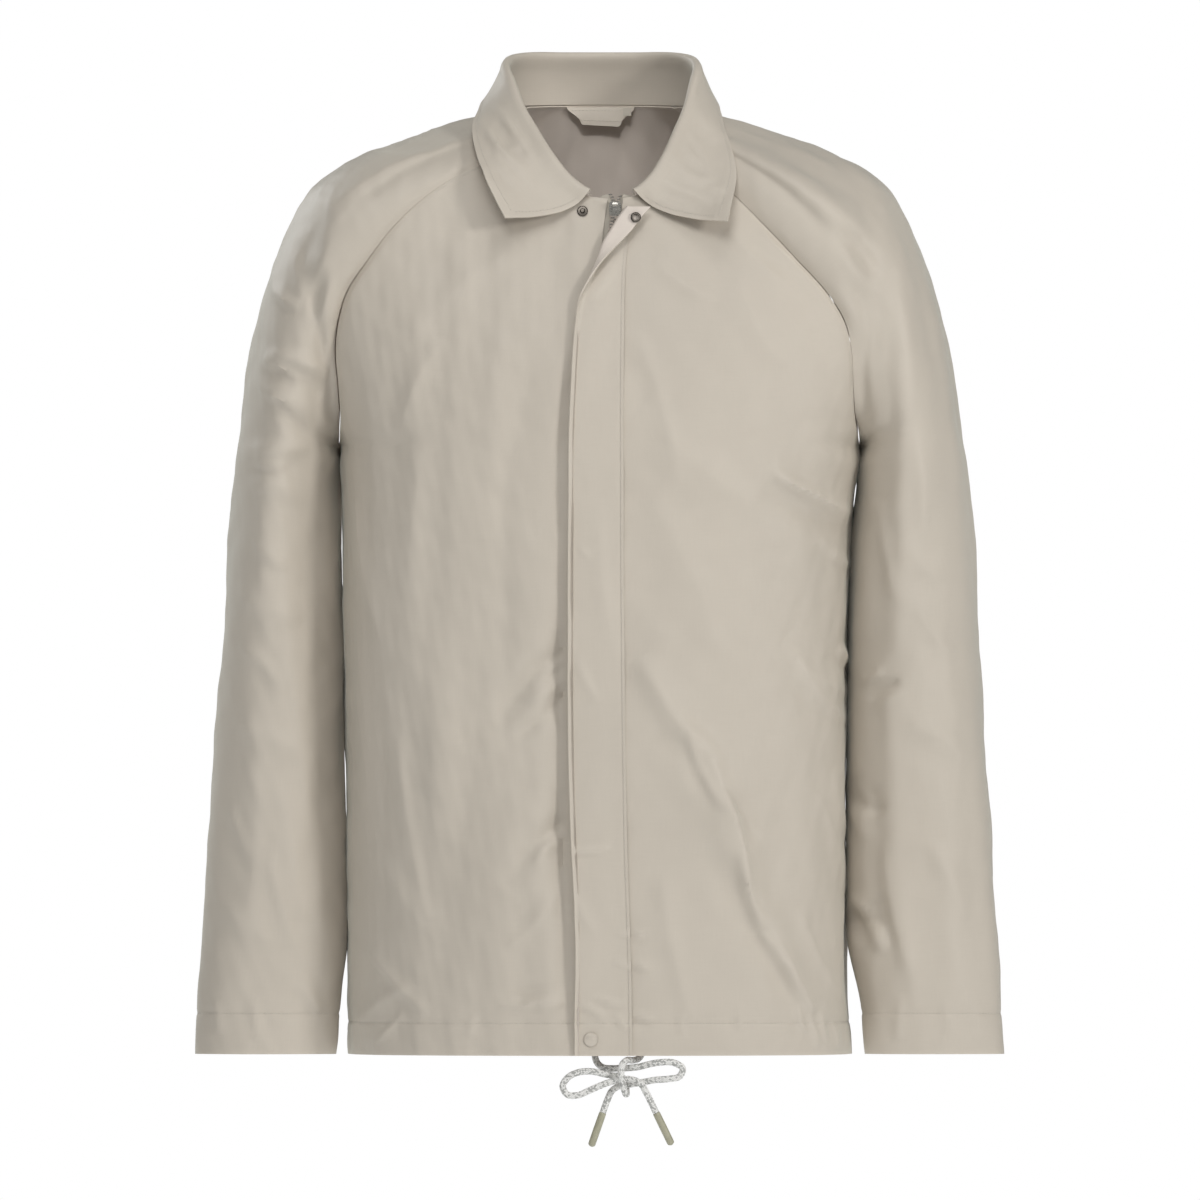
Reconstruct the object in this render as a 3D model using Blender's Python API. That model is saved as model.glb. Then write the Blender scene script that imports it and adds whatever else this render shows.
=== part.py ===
"""Coach jacket, filled out as it is when worn, with nobody in it.

The front faces -Y, the wearer's right hand is at -X and the height is Z. The origin is the middle
of the neck opening at the height of the back neck seam, where the wearer's neck and shoulders hold
the jacket up. Each cut piece is a thin wall: a grid of outer points worked out from the sections
below, and the same grid moved inwards by the thickness of the cloth. All sizes are in millimetres
until a mesh is made.
"""

import math

import bpy
import numpy as np
from mathutils import Vector
from mathutils.bvhtree import BVHTree

MM = 0.001

# Cloth and clearances
CLOTH = 1.2            # wall of a cut panel
HEM_CLOTH = 2.3        # wall where the cloth is turned up twice, at hem and cuffs
HEM_DEPTH = 24.5       # height of the hem's channel for the drawcord
GAP = 0.3              # between pieces at a seam, and where one lies on another
SEAM_GAP = 0.5         # along the raglan seams, which turn as they run
ROUNDNESS = 2.6        # power of the body's section, 2 would be an ellipse
HEM_HEIGHT = -721.6

# Neck seam
NECK_HALF_WIDTH = 74.5
NECK_CENTRE_Y = -16.5
NECK_HALF_DEPTH = 81.5
FRONT_SHIFT = 11.0     # the zip meets the neck this far to the wearer's left
RAGLAN_FRONT = 125.0   # angles round the neck, from the back, where the sleeve's seams end
RAGLAN_BACK = 50.0
NECK_CREST = 85.0

# Zip
TEETH_WIDTH = 5.6
TEETH_DEPTH = 2.2
TAPE_WIDTH = 12.0
TAPE_CLOTH = 1.0
ZIP_CLEAR = 6.1        # from the zip's middle to each front's edge
SLIDER_WIDTH = 8.8
SLIDER_HEIGHT = 11.4
SLIDER_DEPTH = 4.6
SLIDER_Z = -80.6
PULL_WIDTH = 3.4
PULL_LENGTH = 8.6
PULL_DEPTH = 1.2
PIVOT_RADIUS = 0.6

# Fly
PLACKET_SEAT = 0.8     # between the fly and the front it is sewn to
PLACKET_LIFT = 2.6     # how much further its free edge stands off

# Drawcord
CORD_DIAMETER = 5.0
TIP_LENGTH = 27.0
TIP_DIAMETER = 5.6

# Collar
LEAF_ROW = 7            # first row of the collar's sheet that lies on the shoulders
ROLL_ROW = 5            # its row along the top of the roll
COLLAR_SEAT = 0.3       # between the stand and the neck's edge
COLLAR_END_RISE = 1.7   # how much higher its front ends start, where the neck's edge turns down
COLLAR_STAND_OFF = 3.4  # how far the leaf's underside stays off the cloth below it
ROLL_RADIUS = 3.4       # of the roll at the back and sides
ROLL_RADIUS_LEAST = 1.9 # of the roll at the front ends
BODY_HEART = (0.0, 0.0, -200.0)

COLOURS = {
    "cloth": (0.500, 0.457, 0.386),
    "tape": (0.440, 0.402, 0.340),
    "nickel": (0.620, 0.600, 0.560),
    "dark_nickel": (0.110, 0.098, 0.085),
    "cord": (0.640, 0.640, 0.600),
    "tip": (0.400, 0.385, 0.280),
}


def table(columns, rows):
    """Give a table's columns as arrays by name."""
    return dict(zip(columns.split(), np.array(rows, dtype=float).T))


def read(source, column, key_column, key):
    """Read a column of a table at a key, with straight lines between the rows."""
    keys = source[key_column]
    order = np.argsort(keys)
    return np.interp(key, keys[order], source[column][order])


# Body, from hem to shoulder: half widths at the wearer's right and left, and depths from the middle
BODY = table("height right left front back", [
    (-721.6, 191.5, 190.8, 141, 140),
    (-640.0, 191.7, 186.5, 141, 140),
    (-520.0, 193.5, 186.5, 140, 139),
    (-400.0, 195.5, 188.5, 140, 138),
    (-330.0, 196.5, 190.0, 141, 138),
    (-262.0, 198.0, 197.0, 140, 137),
    (-226.0, 209.0, 208.0, 138, 135),
    (-190.0, 222.0, 221.0, 133, 131),
    (-155.0, 231.0, 230.0, 124, 124),
    (-120.0, 240.0, 239.0, 111, 113),
])

# Armhole, from underarm to shoulder: where the raglan seams lie round the body, where the sleeve's
# crest is, and how far the sleeve reaches to front and back of its middle
ARMHOLE = table("height front_right front_left back_seam crest_x crest_z front back", [
    (-262.0, 90.0, 90.0, 90.0, 271.5, -236, 80, 80),
    (-254.0, 80.0, 79.0, 80.0, 269.5, -218, 83, 83),
    (-238.0, 72.0, 69.0, 72.0, 266.5, -195, 86, 85),
    (-214.0, 66.0, 61.5, 64.5, 261.0, -168, 88, 87),
    (-188.0, 61.0, 55.5, 57.0, 255.0, -144, 90, 88),
    (-164.0, 56.0, 49.5, 49.5, 247.0, -120, 91, 89),
    (-142.0, 50.0, 41.5, 43.0, 237.0, -96, 92, 90),
    (-120.0, 42.0, 33.0, 36.5, 225.0, -73, 93, 91),
])

# Sleeve below the underarm: outer edge, inner edge at each side, middle and depths of its section
SLEEVE = table("height outer inner_right inner_left middle front back", [
    (-721.6, 308.0, 200.2, 200.6, -16, 33, 33),
    (-690.6, 306.5, 197.8, 198.0, -15, 35, 35),
    (-690.0, 306.4, 197.8, 198.0, -15, 35, 35),
    (-630.0, 302.0, 195.5, 193.0, -11, 43, 43),
    (-560.0, 298.0, 196.0, 190.5, -6, 52, 52),
    (-490.0, 293.5, 197.0, 190.5, -2, 61, 60),
    (-420.0, 288.5, 198.5, 192.0, 0, 68, 67),
    (-360.0, 284.5, 199.3, 193.0, 1, 73, 72),
    (-315.0, 280.0, 200.2, 195.5, 1, 77, 76),
    (-285.0, 276.0, 200.8, 199.5, 0, 79, 79),
])

# Neck seam, by the angle from the back of the neck
NECK = table("angle height", [
    (0, 0.0), (30, -0.3), (60, -1.5), (85, -5.5), (110, -21.0),
    (125, -36.0), (145, -56.0), (160, -68.0), (168, -71.4), (180, -73.5),
])

# Collar, by the same angle: roll line and outer edge of the leaf at the wearer's right, and the
# leaf's edge at the wearer's left where it differs
COLLAR = table("angle roll_x roll_y roll_z leaf_x leaf_y leaf_z left_leaf_x left_leaf_z", [
    (0, 0.0, 57.0, 40.0, 0.0, 96.0, -11.0, 0.0, -11.0),
    (25, 30.0, 53.0, 40.0, 37.0, 91.0, -10.0, 37.0, -10.0),
    (45, 51.0, 41.0, 40.0, 66.0, 75.0, -7.0, 66.0, -7.0),
    (65, 66.0, 19.0, 37.5, 86.0, 46.0, -1.0, 86.0, -1.0),
    (85, 70.5, -6.0, 31.0, 88.5, 12.0, 3.0, 88.5, 3.0),
    (105, 64.0, -31.0, 16.0, 92.5, -24.0, -4.0, 92.0, -6.0),
    (120, 57.0, -50.0, -2.0, 97.0, -56.0, -19.0, 95.5, -24.0),
    (135, 46.5, -68.0, -20.0, 94.0, -84.0, -37.0, 103.0, -49.0),
    (150, 33.5, -87.0, -40.5, 88.5, -103.0, -52.0, 102.0, -66.0),
    (160, 20.0, -95.5, -57.0, 83.0, -113.0, -66.0, 99.5, -76.0),
    (168, 7.0, -99.5, -65.8, 71.6, -124.0, -87.6, 96.4, -90.0),
])

# Angles at which the collar's sections stand, closer over the shoulders
COLLAR_STATIONS = np.array([
    0, 12, 25, 37, 48, 58, 67, 76, 85, 93, 101, 109, 117, 125, 133, 141, 149, 157, 163, 168,
], dtype=float)

# Fly placket, from hem to neck: stitched edge, fold of its free edge, how far that edge turns,
# the radius of the turn and what lies beyond it
PLACKET = table("height stitch fold turn radius flap", [
    (-721.6, 24.5, -15.5, 25, 7.0, 1.2),
    (-662.0, 23.8, -15.0, 25, 7.0, 1.2),
    (-560.0, 20.5, -17.0, 30, 7.0, 1.2),
    (-460.0, 19.0, -18.5, 30, 7.0, 1.2),
    (-346.0, 18.0, -20.5, 30, 7.0, 1.2),
    (-240.0, 17.8, -18.8, 30, 7.0, 1.2),
    (-197.0, 18.0, -17.0, 35, 6.0, 1.5),
    (-174.0, 18.2, -15.0, 40, 5.5, 1.5),
    (-150.0, 18.5, -10.5, 60, 4.5, 2.0),
    (-134.0, 19.0, -4.5, 95, 3.2, 3.0),
    (-117.0, 20.0, 1.6, 140, 2.0, 6.0),
    (-106.0, 21.5, 5.2, 170, 1.7, 11.0),
    (-97.0, 23.5, 10.4, 176, 1.6, 14.0),
    (-88.0, 27.0, 15.8, 178, 1.6, 15.0),
    (-79.5, 31.5, 22.4, 178, 1.6, 16.0),
])

# Middle line of the zip
ZIP = table("height middle", [
    (-721.6, 3.0), (-300.0, 3.0), (-150.0, 4.5), (-106.0, 7.5), (-88.0, 10.8), (-70.0, 12.2),
])

# Largest folds of the fronts: ends, how far they stand out and their half width
FRONT_FOLDS = table("x0 z0 x1 z1 out width", [
    (52.0, -452.0, 92.0, -541.0, 4.0, 17.0),
    (92.0, -541.0, 157.0, -683.0, 4.5, 17.0),
    (128.0, -276.0, 188.0, -312.0, 3.0, 17.0),
    (60.0, -380.0, 120.0, -560.0, -2.5, 24.0),
    (-140.0, -420.0, -60.0, -640.0, 2.5, 30.0),
    (-60.0, -300.0, -95.0, -560.0, -2.5, 26.0),
])

# Folds of the back, plain and like those of the fronts
BACK_FOLDS = table("x0 z0 x1 z1 out width", [
    (-130.0, -240.0, -60.0, -520.0, 3.0, 26.0),
    (135.0, -260.0, 50.0, -560.0, 3.5, 26.0),
    (-150.0, -440.0, -110.0, -690.0, -2.5, 24.0),
    (110.0, -470.0, 140.0, -700.0, 3.0, 22.0),
])

# Fold that parts the shoulder from the hanging sleeve: its place by height, and its depth
SLEEVE_FOLD = table("height right left depth", [
    (-262.0, 201.0, 199.0, 0.0),
    (-240.0, 200.5, 198.6, 6.0),
    (-205.0, 204.0, 198.2, 10.0),
    (-150.0, 212.0, 198.6, 12.0),
    (-110.0, 219.0, 198.8, 12.0),
    (-80.0, 225.0, 201.0, 9.0),
    (-60.0, 226.0, 210.0, 0.0),
])

# Drawcord: route points in the order in which the cord runs, out of the hem at each side of the zip
CORD_RIGHT_ROUTE = [
    (-4.0, -137.0, -708.5), (-4.0, -131.0, -709.3), (-4.0, -125.2, -713.6), (-4.0, -123.4, -720.0),
    (-2.6, -124.5, -726.2), (2.0, -128.0, -730.4), (8.5, -130.8, -731.2), (15.0, -132.0, -731.0),
    (22.0, -133.2, -730.8), (30.0, -135.0, -729.8), (38.0, -137.0, -727.8), (47.0, -138.5, -726.4),
    (56.5, -139.0, -727.0), (62.6, -139.0, -731.4), (60.5, -139.0, -736.8), (52.0, -138.5, -739.0),
    (42.0, -137.0, -739.8), (33.0, -135.0, -741.4), (24.0, -133.0, -743.0), (15.0, -132.2, -744.2),
    (9.2, -133.0, -748.0), (5.6, -134.5, -755.0), (2.2, -135.0, -764.5),
]
CORD_LEFT_ROUTE = [
    (33.5, -137.4, -707.0), (33.5, -131.0, -707.6), (33.3, -125.2, -711.6), (32.6, -123.4, -717.6),
    (29.8, -125.4, -723.2), (25.2, -131.4, -725.0), (20.4, -138.0, -725.0), (16.8, -143.6, -728.4),
    (16.0, -145.6, -736.0), (17.6, -144.4, -744.6), (19.4, -138.6, -750.2), (20.0, -130.8, -749.6),
    (19.2, -126.2, -743.4), (16.4, -126.2, -737.6), (11.0, -131.0, -736.8), (4.0, -137.6, -735.6),
    (-6.0, -140.5, -733.4), (-16.0, -140.5, -734.0), (-24.5, -140.5, -738.2), (-28.2, -140.5, -744.6),
    (-25.0, -140.5, -750.6), (-17.0, -140.5, -751.4), (-9.0, -140.5, -748.2), (-1.0, -140.5, -744.6),
    (7.0, -140.4, -741.6), (16.0, -139.6, -739.4), (24.5, -140.6, -739.6), (30.8, -143.4, -742.6),
    (35.0, -144.4, -749.4), (39.0, -144.0, -757.5), (42.4, -143.2, -764.5),
]


def clear_scene():
    for old in list(bpy.data.objects):
        bpy.data.objects.remove(old, do_unlink=True)


def material(name, metallic=0.0, roughness=0.75):
    """One Principled material for each sub-part, in the photo's colour."""
    made = bpy.data.materials.new(name)
    made.use_nodes = True
    shader = made.node_tree.nodes["Principled BSDF"]
    shader.inputs["Base Color"].default_value = (*COLOURS[name.split(".")[0]], 1.0)
    shader.inputs["Metallic"].default_value = metallic
    shader.inputs["Roughness"].default_value = roughness
    return made


def unit(vectors):
    """Vectors brought to length one."""
    length = np.linalg.norm(vectors, axis=-1, keepdims=True)
    return vectors / np.maximum(length, 1e-9)


def smooth_step(value):
    value = np.clip(value, 0.0, 1.0)
    return value * value * (3.0 - 2.0 * value)


def add_mesh(name, points, faces, colour, metallic=0.0, roughness=0.75, parent=None):
    """Make an object from points in millimetres and faces that close on themselves."""
    mesh = bpy.data.meshes.new(name)
    shift = np.array(parent.location) / MM if parent else np.zeros(3)
    mesh.from_pydata(((np.asarray(points) - shift) * MM).tolist(), [], faces)
    mesh.validate()
    made = bpy.data.objects.new(name, mesh)
    bpy.context.scene.collection.objects.link(made)
    if parent:
        made.parent = parent
    mesh.materials.append(material(f"{colour}.{name}", metallic, roughness))
    mesh.shade_smooth()
    mesh.set_sharp_from_angle(angle=math.radians(40))
    return made


def signed_volume(points, faces):
    """Volume of a closed mesh, below nought where its faces point inwards."""
    corners = np.asarray(points)[np.asarray(faces)]
    return np.einsum("ij,ij->i", corners[:, 0], np.cross(corners[:, 1], corners[:, 2])).sum() / 6.0


def add_wall(name, outer, inward, colour="cloth", closed_rows=0, **finish):
    """Join a grid and its copy moved by `inward` into one closed wall.

    The first `closed_rows` rows run all round, so their last column is their first one again.
    """
    rows, columns = outer.shape[:2]
    index = np.arange(rows * columns).reshape(rows, columns)
    index[:closed_rows, -1] = index[:closed_rows, 0]
    back = index + rows * columns
    faces = []

    def quad(a, b, c, d):
        faces.append((a, b, c))
        faces.append((a, c, d))

    for r in range(rows - 1):
        for c in range(columns - 1):
            quad(index[r, c], index[r, c + 1], index[r + 1, c + 1], index[r + 1, c])
            faces.append((back[r, c], back[r + 1, c + 1], back[r, c + 1]))
            faces.append((back[r, c], back[r + 1, c], back[r + 1, c + 1]))
    for c in range(columns - 1):
        quad(index[0, c], back[0, c], back[0, c + 1], index[0, c + 1])
        quad(index[-1, c + 1], back[-1, c + 1], back[-1, c], index[-1, c])
    for r in range(max(closed_rows - 1, 0), rows - 1):
        quad(index[r + 1, 0], back[r + 1, 0], back[r, 0], index[r, 0])
        quad(index[r, -1], back[r, -1], back[r + 1, -1], index[r + 1, -1])

    points = np.concatenate([outer.reshape(-1, 3), (outer + inward).reshape(-1, 3)])
    used, compact = np.unique(np.array(faces), return_inverse=True)
    faces = compact.reshape(-1, 3)
    points = points[used]
    if signed_volume(points, faces) < 0.0:
        faces = faces[:, ::-1]
    return add_mesh(name, points, [tuple(int(i) for i in f) for f in faces], colour, **finish)


def grid_normals(grid, away_from):
    """Unit normals of a grid of points, turned away from the given points."""
    along = np.gradient(grid, axis=1)
    up = np.gradient(grid, axis=0)
    normals = unit(np.cross(along, up))
    facing = np.einsum("rci,rci->rc", normals, grid - away_from)
    return normals * np.where(np.sum(facing) < 0.0, -1.0, 1.0)


def body_point(angle, height):
    """A point of the body's section: angle in degrees from the front, growing to +X."""
    angle = np.radians(angle)
    side, ahead = np.sin(angle), np.cos(angle)
    power = 2.0 / ROUNDNESS
    width = np.where(side < 0, read(BODY, "right", "height", height), read(BODY, "left", "height", height))
    depth = np.where(ahead > 0, read(BODY, "front", "height", height), read(BODY, "back", "height", height))
    x = width * np.sign(side) * np.abs(side) ** power
    y = -depth * np.sign(ahead) * np.abs(ahead) ** power
    return np.stack(np.broadcast_arrays(x, y, height), axis=-1)


def body_angle(x, height):
    """The angle at which the front of the section has this x."""
    width = np.where(x < 0, read(BODY, "right", "height", height), read(BODY, "left", "height", height))
    return np.degrees(np.sign(x) * np.arcsin((np.abs(x) / width) ** (ROUNDNESS / 2.0)))


def folds(places, x, z):
    """Height of all the folds in a table at places of the front view."""
    total = np.zeros_like(x)
    for x0, z0, x1, z1, out, width in zip(*places.values()):
        run = np.array([x1 - x0, z1 - z0])
        length = np.hypot(*run)
        along = ((x - x0) * run[0] + (z - z0) * run[1]) / length ** 2
        across = ((x - x0) * run[1] - (z - z0) * run[0]) / length
        fade = np.exp(-np.maximum(np.abs(along - 0.5) - 0.5, 0.0) ** 2 * (length / width) ** 2)
        total += out * np.exp(-(across / width) ** 2) * fade
    return total


def neck_point(angle, side):
    """A point of the neck seam: angle in degrees from the back, side -1 at the wearer's right."""
    turn = np.radians(angle)
    x = side * NECK_HALF_WIDTH * np.sin(turn) + FRONT_SHIFT * (angle / 180.0) ** 3
    y = NECK_CENTRE_Y + NECK_HALF_DEPTH * np.cos(turn)
    z = read(NECK, "height", "angle", angle)
    return np.stack(np.broadcast_arrays(x, y, z), axis=-1)


ARMHOLE_ROWS = len(ARMHOLE["height"])
YOKE_STEPS = np.linspace(0.0, 1.0, 6)[1:]
YOKE_REACH = 0.55       # how far a panel keeps its direction above the armhole, as a share of the way on
CREST_REACH = 0.25      # the same at the sleeve's crest, where the shoulder slopes almost straight
BODY_ROWS = np.concatenate([
    [HEM_HEIGHT, HEM_HEIGHT + HEM_DEPTH, HEM_HEIGHT + HEM_DEPTH + 0.5],
    np.linspace(-655.0, -300.0, 10),
])


def raise_to_neck(last, before, neck, reach=YOKE_REACH):
    """A quadratic curve that leaves the last row in its own direction and ends on the neck seam."""
    reach = np.linalg.norm(neck - last, axis=-1, keepdims=True) * reach
    middle = last + unit(last - before) * reach
    t = YOKE_STEPS[:, None, None]
    return (1 - t) ** 2 * last + 2 * t * (1 - t) * middle + t ** 2 * neck


def raglan_seam(side, which):
    """The seam between sleeve and front or back, from underarm to neck."""
    heights = ARMHOLE["height"]
    front = ARMHOLE["front_right" if side < 0 else "front_left"]
    turned = side * (front if which == "front" else 180.0 - ARMHOLE["back_seam"])
    low = body_point(turned, heights)[:, None, :]
    end = RAGLAN_FRONT if which == "front" else RAGLAN_BACK
    high = raise_to_neck(low[-1], low[-2], neck_point(np.array([end]), side))
    return np.concatenate([low, high])[:, 0]


def front_grid(side, clear=ZIP_CLEAR, columns=13):
    """Outer points of one front, columns from the zip to the side, rows from hem to neck."""
    share = np.linspace(0.0, 1.0, columns)
    heights = np.concatenate([BODY_ROWS, ARMHOLE["height"]])
    edges = read(ZIP, "middle", "height", heights) + side * clear
    start = body_angle(edges, heights)
    seam = ARMHOLE["front_right" if side < 0 else "front_left"]
    limit = side * np.concatenate([np.full(len(BODY_ROWS), 90.0), seam])
    angles = start[:, None] + (limit - start)[:, None] * share
    low = body_point(angles, heights[:, None] + 0.0 * angles)
    standing = np.clip(np.cos(np.radians(angles)), 0.0, 1.0) ** 0.7
    low[..., 1] -= folds(FRONT_FOLDS, low[..., 0], low[..., 2]) * standing
    low[len(BODY_ROWS):, -1] = raglan_seam(side, "front")[:ARMHOLE_ROWS]
    first = 180.0 - math.degrees(math.asin((clear + side * 1.6) / NECK_HALF_WIDTH))
    neck = neck_point(first + (RAGLAN_FRONT - first) * share, side)
    high = raise_to_neck(low[-1], low[-2], neck)
    high[:, -1] = raglan_seam(side, "front")[ARMHOLE_ROWS:]
    return np.concatenate([low, high])


def back_grid(columns=25):
    """Outer points of the back, columns from the wearer's right to the left."""
    share = np.linspace(-1.0, 1.0, columns)
    heights = np.concatenate([BODY_ROWS, ARMHOLE["height"]])
    limit = np.concatenate([np.full(len(BODY_ROWS), 90.0), ARMHOLE["back_seam"]])
    turned = limit[:, None] * share
    angles = np.where(turned < 0, -180.0 - turned, 180.0 - turned)
    low = body_point(angles, heights[:, None] + 0.0 * angles)
    low[..., 1] += folds(BACK_FOLDS, low[..., 0], low[..., 2]) * np.cos(np.radians(turned)) ** 0.7
    sides = np.where(share < 0, -1.0, 1.0)
    neck = neck_point(RAGLAN_BACK * np.abs(share), sides)
    for column, side in ((0, -1), (-1, 1)):
        low[len(BODY_ROWS):, column] = raglan_seam(side, "back")[:ARMHOLE_ROWS]
    high = raise_to_neck(low[-1], low[-2], neck)
    for column, side in ((0, -1), (-1, 1)):
        high[:, column] = raglan_seam(side, "back")[ARMHOLE_ROWS:]
    return np.concatenate([low, high])


def sleeve_half(front, crest, seam, depth, steps):
    """Points of half a section, from crest to seam: a quarter to a half of an ellipse."""
    reach = np.clip(np.abs(crest[:, 1] - seam[:, 1]) / depth, 0.0, 1.0)
    last = np.pi - np.arcsin(reach)
    turn = last[:, None] * steps
    share = (1.0 - np.cos(turn)) / (1.0 - np.cos(last))[:, None]
    points = crest[:, None, :] + (seam - crest)[:, None, :] * share[..., None]
    sign = -1.0 if front else 1.0
    points[..., 1] = crest[:, None, 1] + sign * depth[:, None] * np.sin(turn)
    return points


def sleeve_grid(side, half_columns=12):
    """Outer points of a sleeve, rows from cuff to neck, columns from the front seam over the crest.

    Below the underarm a row runs all round. Above it the row is open between the raglan seams.
    """
    lower = SLEEVE["height"]
    inner = side * SLEEVE["inner_right" if side < 0 else "inner_left"]
    crest = np.stack([side * SLEEVE["outer"], SLEEVE["middle"], lower], axis=-1)
    seam = np.stack([inner, SLEEVE["middle"], lower], axis=-1)
    rise = smooth_step((lower + 420.0) / 160.0) * 22.0
    crest[:, 2] += rise
    above = np.stack([side * ARMHOLE["crest_x"], 0.0 * ARMHOLE["crest_x"], ARMHOLE["crest_z"]], axis=-1)
    crests = np.concatenate([crest, above])
    steps = np.linspace(0.0, 1.0, half_columns + 1)
    halves = []
    for which, front in (("front", True), ("back", False)):
        raglan = raglan_seam(side, which)
        away = unit(above - raglan[:ARMHOLE_ROWS])
        seams = np.concatenate([seam, raglan[:ARMHOLE_ROWS] + away * SEAM_GAP])
        seams[len(lower), 1] = 0.0
        depth = np.concatenate([SLEEVE[which], ARMHOLE[which]])
        depth[len(lower):] = np.maximum(depth[len(lower):], 1.06 * np.abs(raglan[:ARMHOLE_ROWS, 1]))
        half = sleeve_half(front, crests, seams, depth, steps)
        neck_end = RAGLAN_FRONT if front else RAGLAN_BACK
        neck = neck_point(NECK_CREST + (neck_end - NECK_CREST) * steps, side)
        halves.append((half, neck, raglan))
    grid = np.concatenate([halves[0][0][:, ::-1], halves[1][0][:, 1:]], axis=1)
    neck = np.concatenate([halves[0][1][::-1], halves[1][1][1:]])
    fold_sleeve(grid, side, half_columns)
    spread = np.concatenate([steps[::-1], steps[1:]])[:, None] ** 2
    high = raise_to_neck(grid[-1], grid[-2], neck, CREST_REACH + (YOKE_REACH - CREST_REACH) * spread)
    for column, (_, _, raglan) in ((0, halves[0]), (-1, halves[1])):
        away = unit(grid[-1, half_columns] - raglan[ARMHOLE_ROWS - 1])
        high[:, column] = raglan[ARMHOLE_ROWS:] + away * SEAM_GAP
    return np.concatenate([grid, high])


def fold_sleeve(grid, side, half_columns):
    """Press the deep fold between shoulder and hanging sleeve into the front half of the sleeve."""
    front = grid[:, 1:half_columns]
    place = read(SLEEVE_FOLD, "right" if side < 0 else "left", "height", front[..., 2])
    depth = read(SLEEVE_FOLD, "depth", "height", front[..., 2])
    beyond = np.abs(front[..., 0]) - place
    depth *= smooth_step((front[..., 2] + 262.0) / 20.0)
    front[..., 1] += depth * smooth_step(beyond / 8.0 + 0.5) * np.exp(-np.maximum(beyond, 0.0) / 22.0)


def inset_edge(grid, column, toward, distance):
    """Draw an edge column back from its seam, towards its neighbour."""
    grid[:, column] += unit(grid[:, toward] - grid[:, column]) * distance


def panel_thickness(rows, hem_rows, thick):
    wall = np.full(rows, CLOTH)
    wall[:hem_rows] = thick
    return wall[:, None, None]


def build_shell():
    """Fronts, back and sleeves, with one shared direction of thickness along each seam."""
    fronts = {side: front_grid(side) for side in (-1, 1)}
    back = back_grid()
    sleeves = {side: sleeve_grid(side) for side in (-1, 1)}

    def body_centres(grid):
        centre = np.zeros_like(grid)
        centre[..., 2] = np.minimum(grid[..., 2], -150.0)
        return centre

    normals = {side: grid_normals(fronts[side], body_centres(fronts[side])) for side in (-1, 1)}
    back_normals = grid_normals(back, body_centres(back))
    sleeve_normals = {}
    for side in (-1, 1):
        grid = sleeves[side]
        centre = grid.mean(axis=1, keepdims=True) + np.zeros_like(grid)
        centre[len(SLEEVE["height"]):, :, 2] -= 50.0
        sleeve_normals[side] = grid_normals(grid, centre)
        closed = len(SLEEVE["height"]) + 1
        joined = unit(sleeve_normals[side][:closed, 0] + sleeve_normals[side][:closed, -1])
        sleeve_normals[side][:closed, 0] = joined
        sleeve_normals[side][:closed, -1] = joined

    low = len(BODY_ROWS)
    cuff = len(SLEEVE["height"])
    for side, back_column in ((-1, 0), (1, -1)):
        side_seam = unit(normals[side][:low, -1] + back_normals[:low, back_column])
        normals[side][:low, -1] = side_seam
        back_normals[:low, back_column] = side_seam
        for panel, column, sleeve_column in (
            (normals[side], -1, 0),
            (back_normals, back_column, -1),
        ):
            shared = panel[low:, column] + sleeve_normals[side][cuff:, sleeve_column]
            shared[0] = (0.0, 0.0, -1.0)
            shared[1] = shared[1] + (0.0, 0.0, -0.5)
            shared = unit(shared)
            panel[low:, column] = shared
            sleeve_normals[side][cuff:, sleeve_column] = shared

    for side, name in ((-1, "front_right"), (1, "front_left")):
        grid = fronts[side]
        inset_edge(grid[:low], -1, -2, GAP / 2)
        wall = panel_thickness(len(grid), 2, HEM_CLOTH)
        add_wall(name, grid, -normals[side] * wall)
    inset_edge(back[:low], 0, 1, GAP / 2)
    inset_edge(back[:low], -1, -2, GAP / 2)
    add_wall("back", back, -back_normals * panel_thickness(len(back), 2, HEM_CLOTH))
    for side, name in ((-1, "sleeve_right"), (1, "sleeve_left")):
        grid = sleeves[side]
        wall = panel_thickness(len(grid), 2, HEM_CLOTH)
        add_wall(name, grid, -sleeve_normals[side] * wall, closed_rows=cuff + 1)


def collar_lines(side):
    """Neck seam, roll line and leaf edge at the collar's stations on one side."""
    key = COLLAR["angle"]
    neck = neck_point(COLLAR_STATIONS, side)
    roll = np.stack([side * COLLAR["roll_x"], COLLAR["roll_y"], COLLAR["roll_z"]], axis=-1)
    if side > 0:
        roll[:, 0] += 2.0 * FRONT_SHIFT * (key / 180.0) ** 3
    leaf_x = COLLAR["leaf_x"] if side < 0 else COLLAR["left_leaf_x"]
    leaf_z = COLLAR["leaf_z"] if side < 0 else COLLAR["left_leaf_z"]
    leaf = np.stack([side * leaf_x, COLLAR["leaf_y"], leaf_z], axis=-1)
    return neck, smooth_curve(roll, key, COLLAR_STATIONS), smooth_curve(leaf, key, COLLAR_STATIONS)


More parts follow.
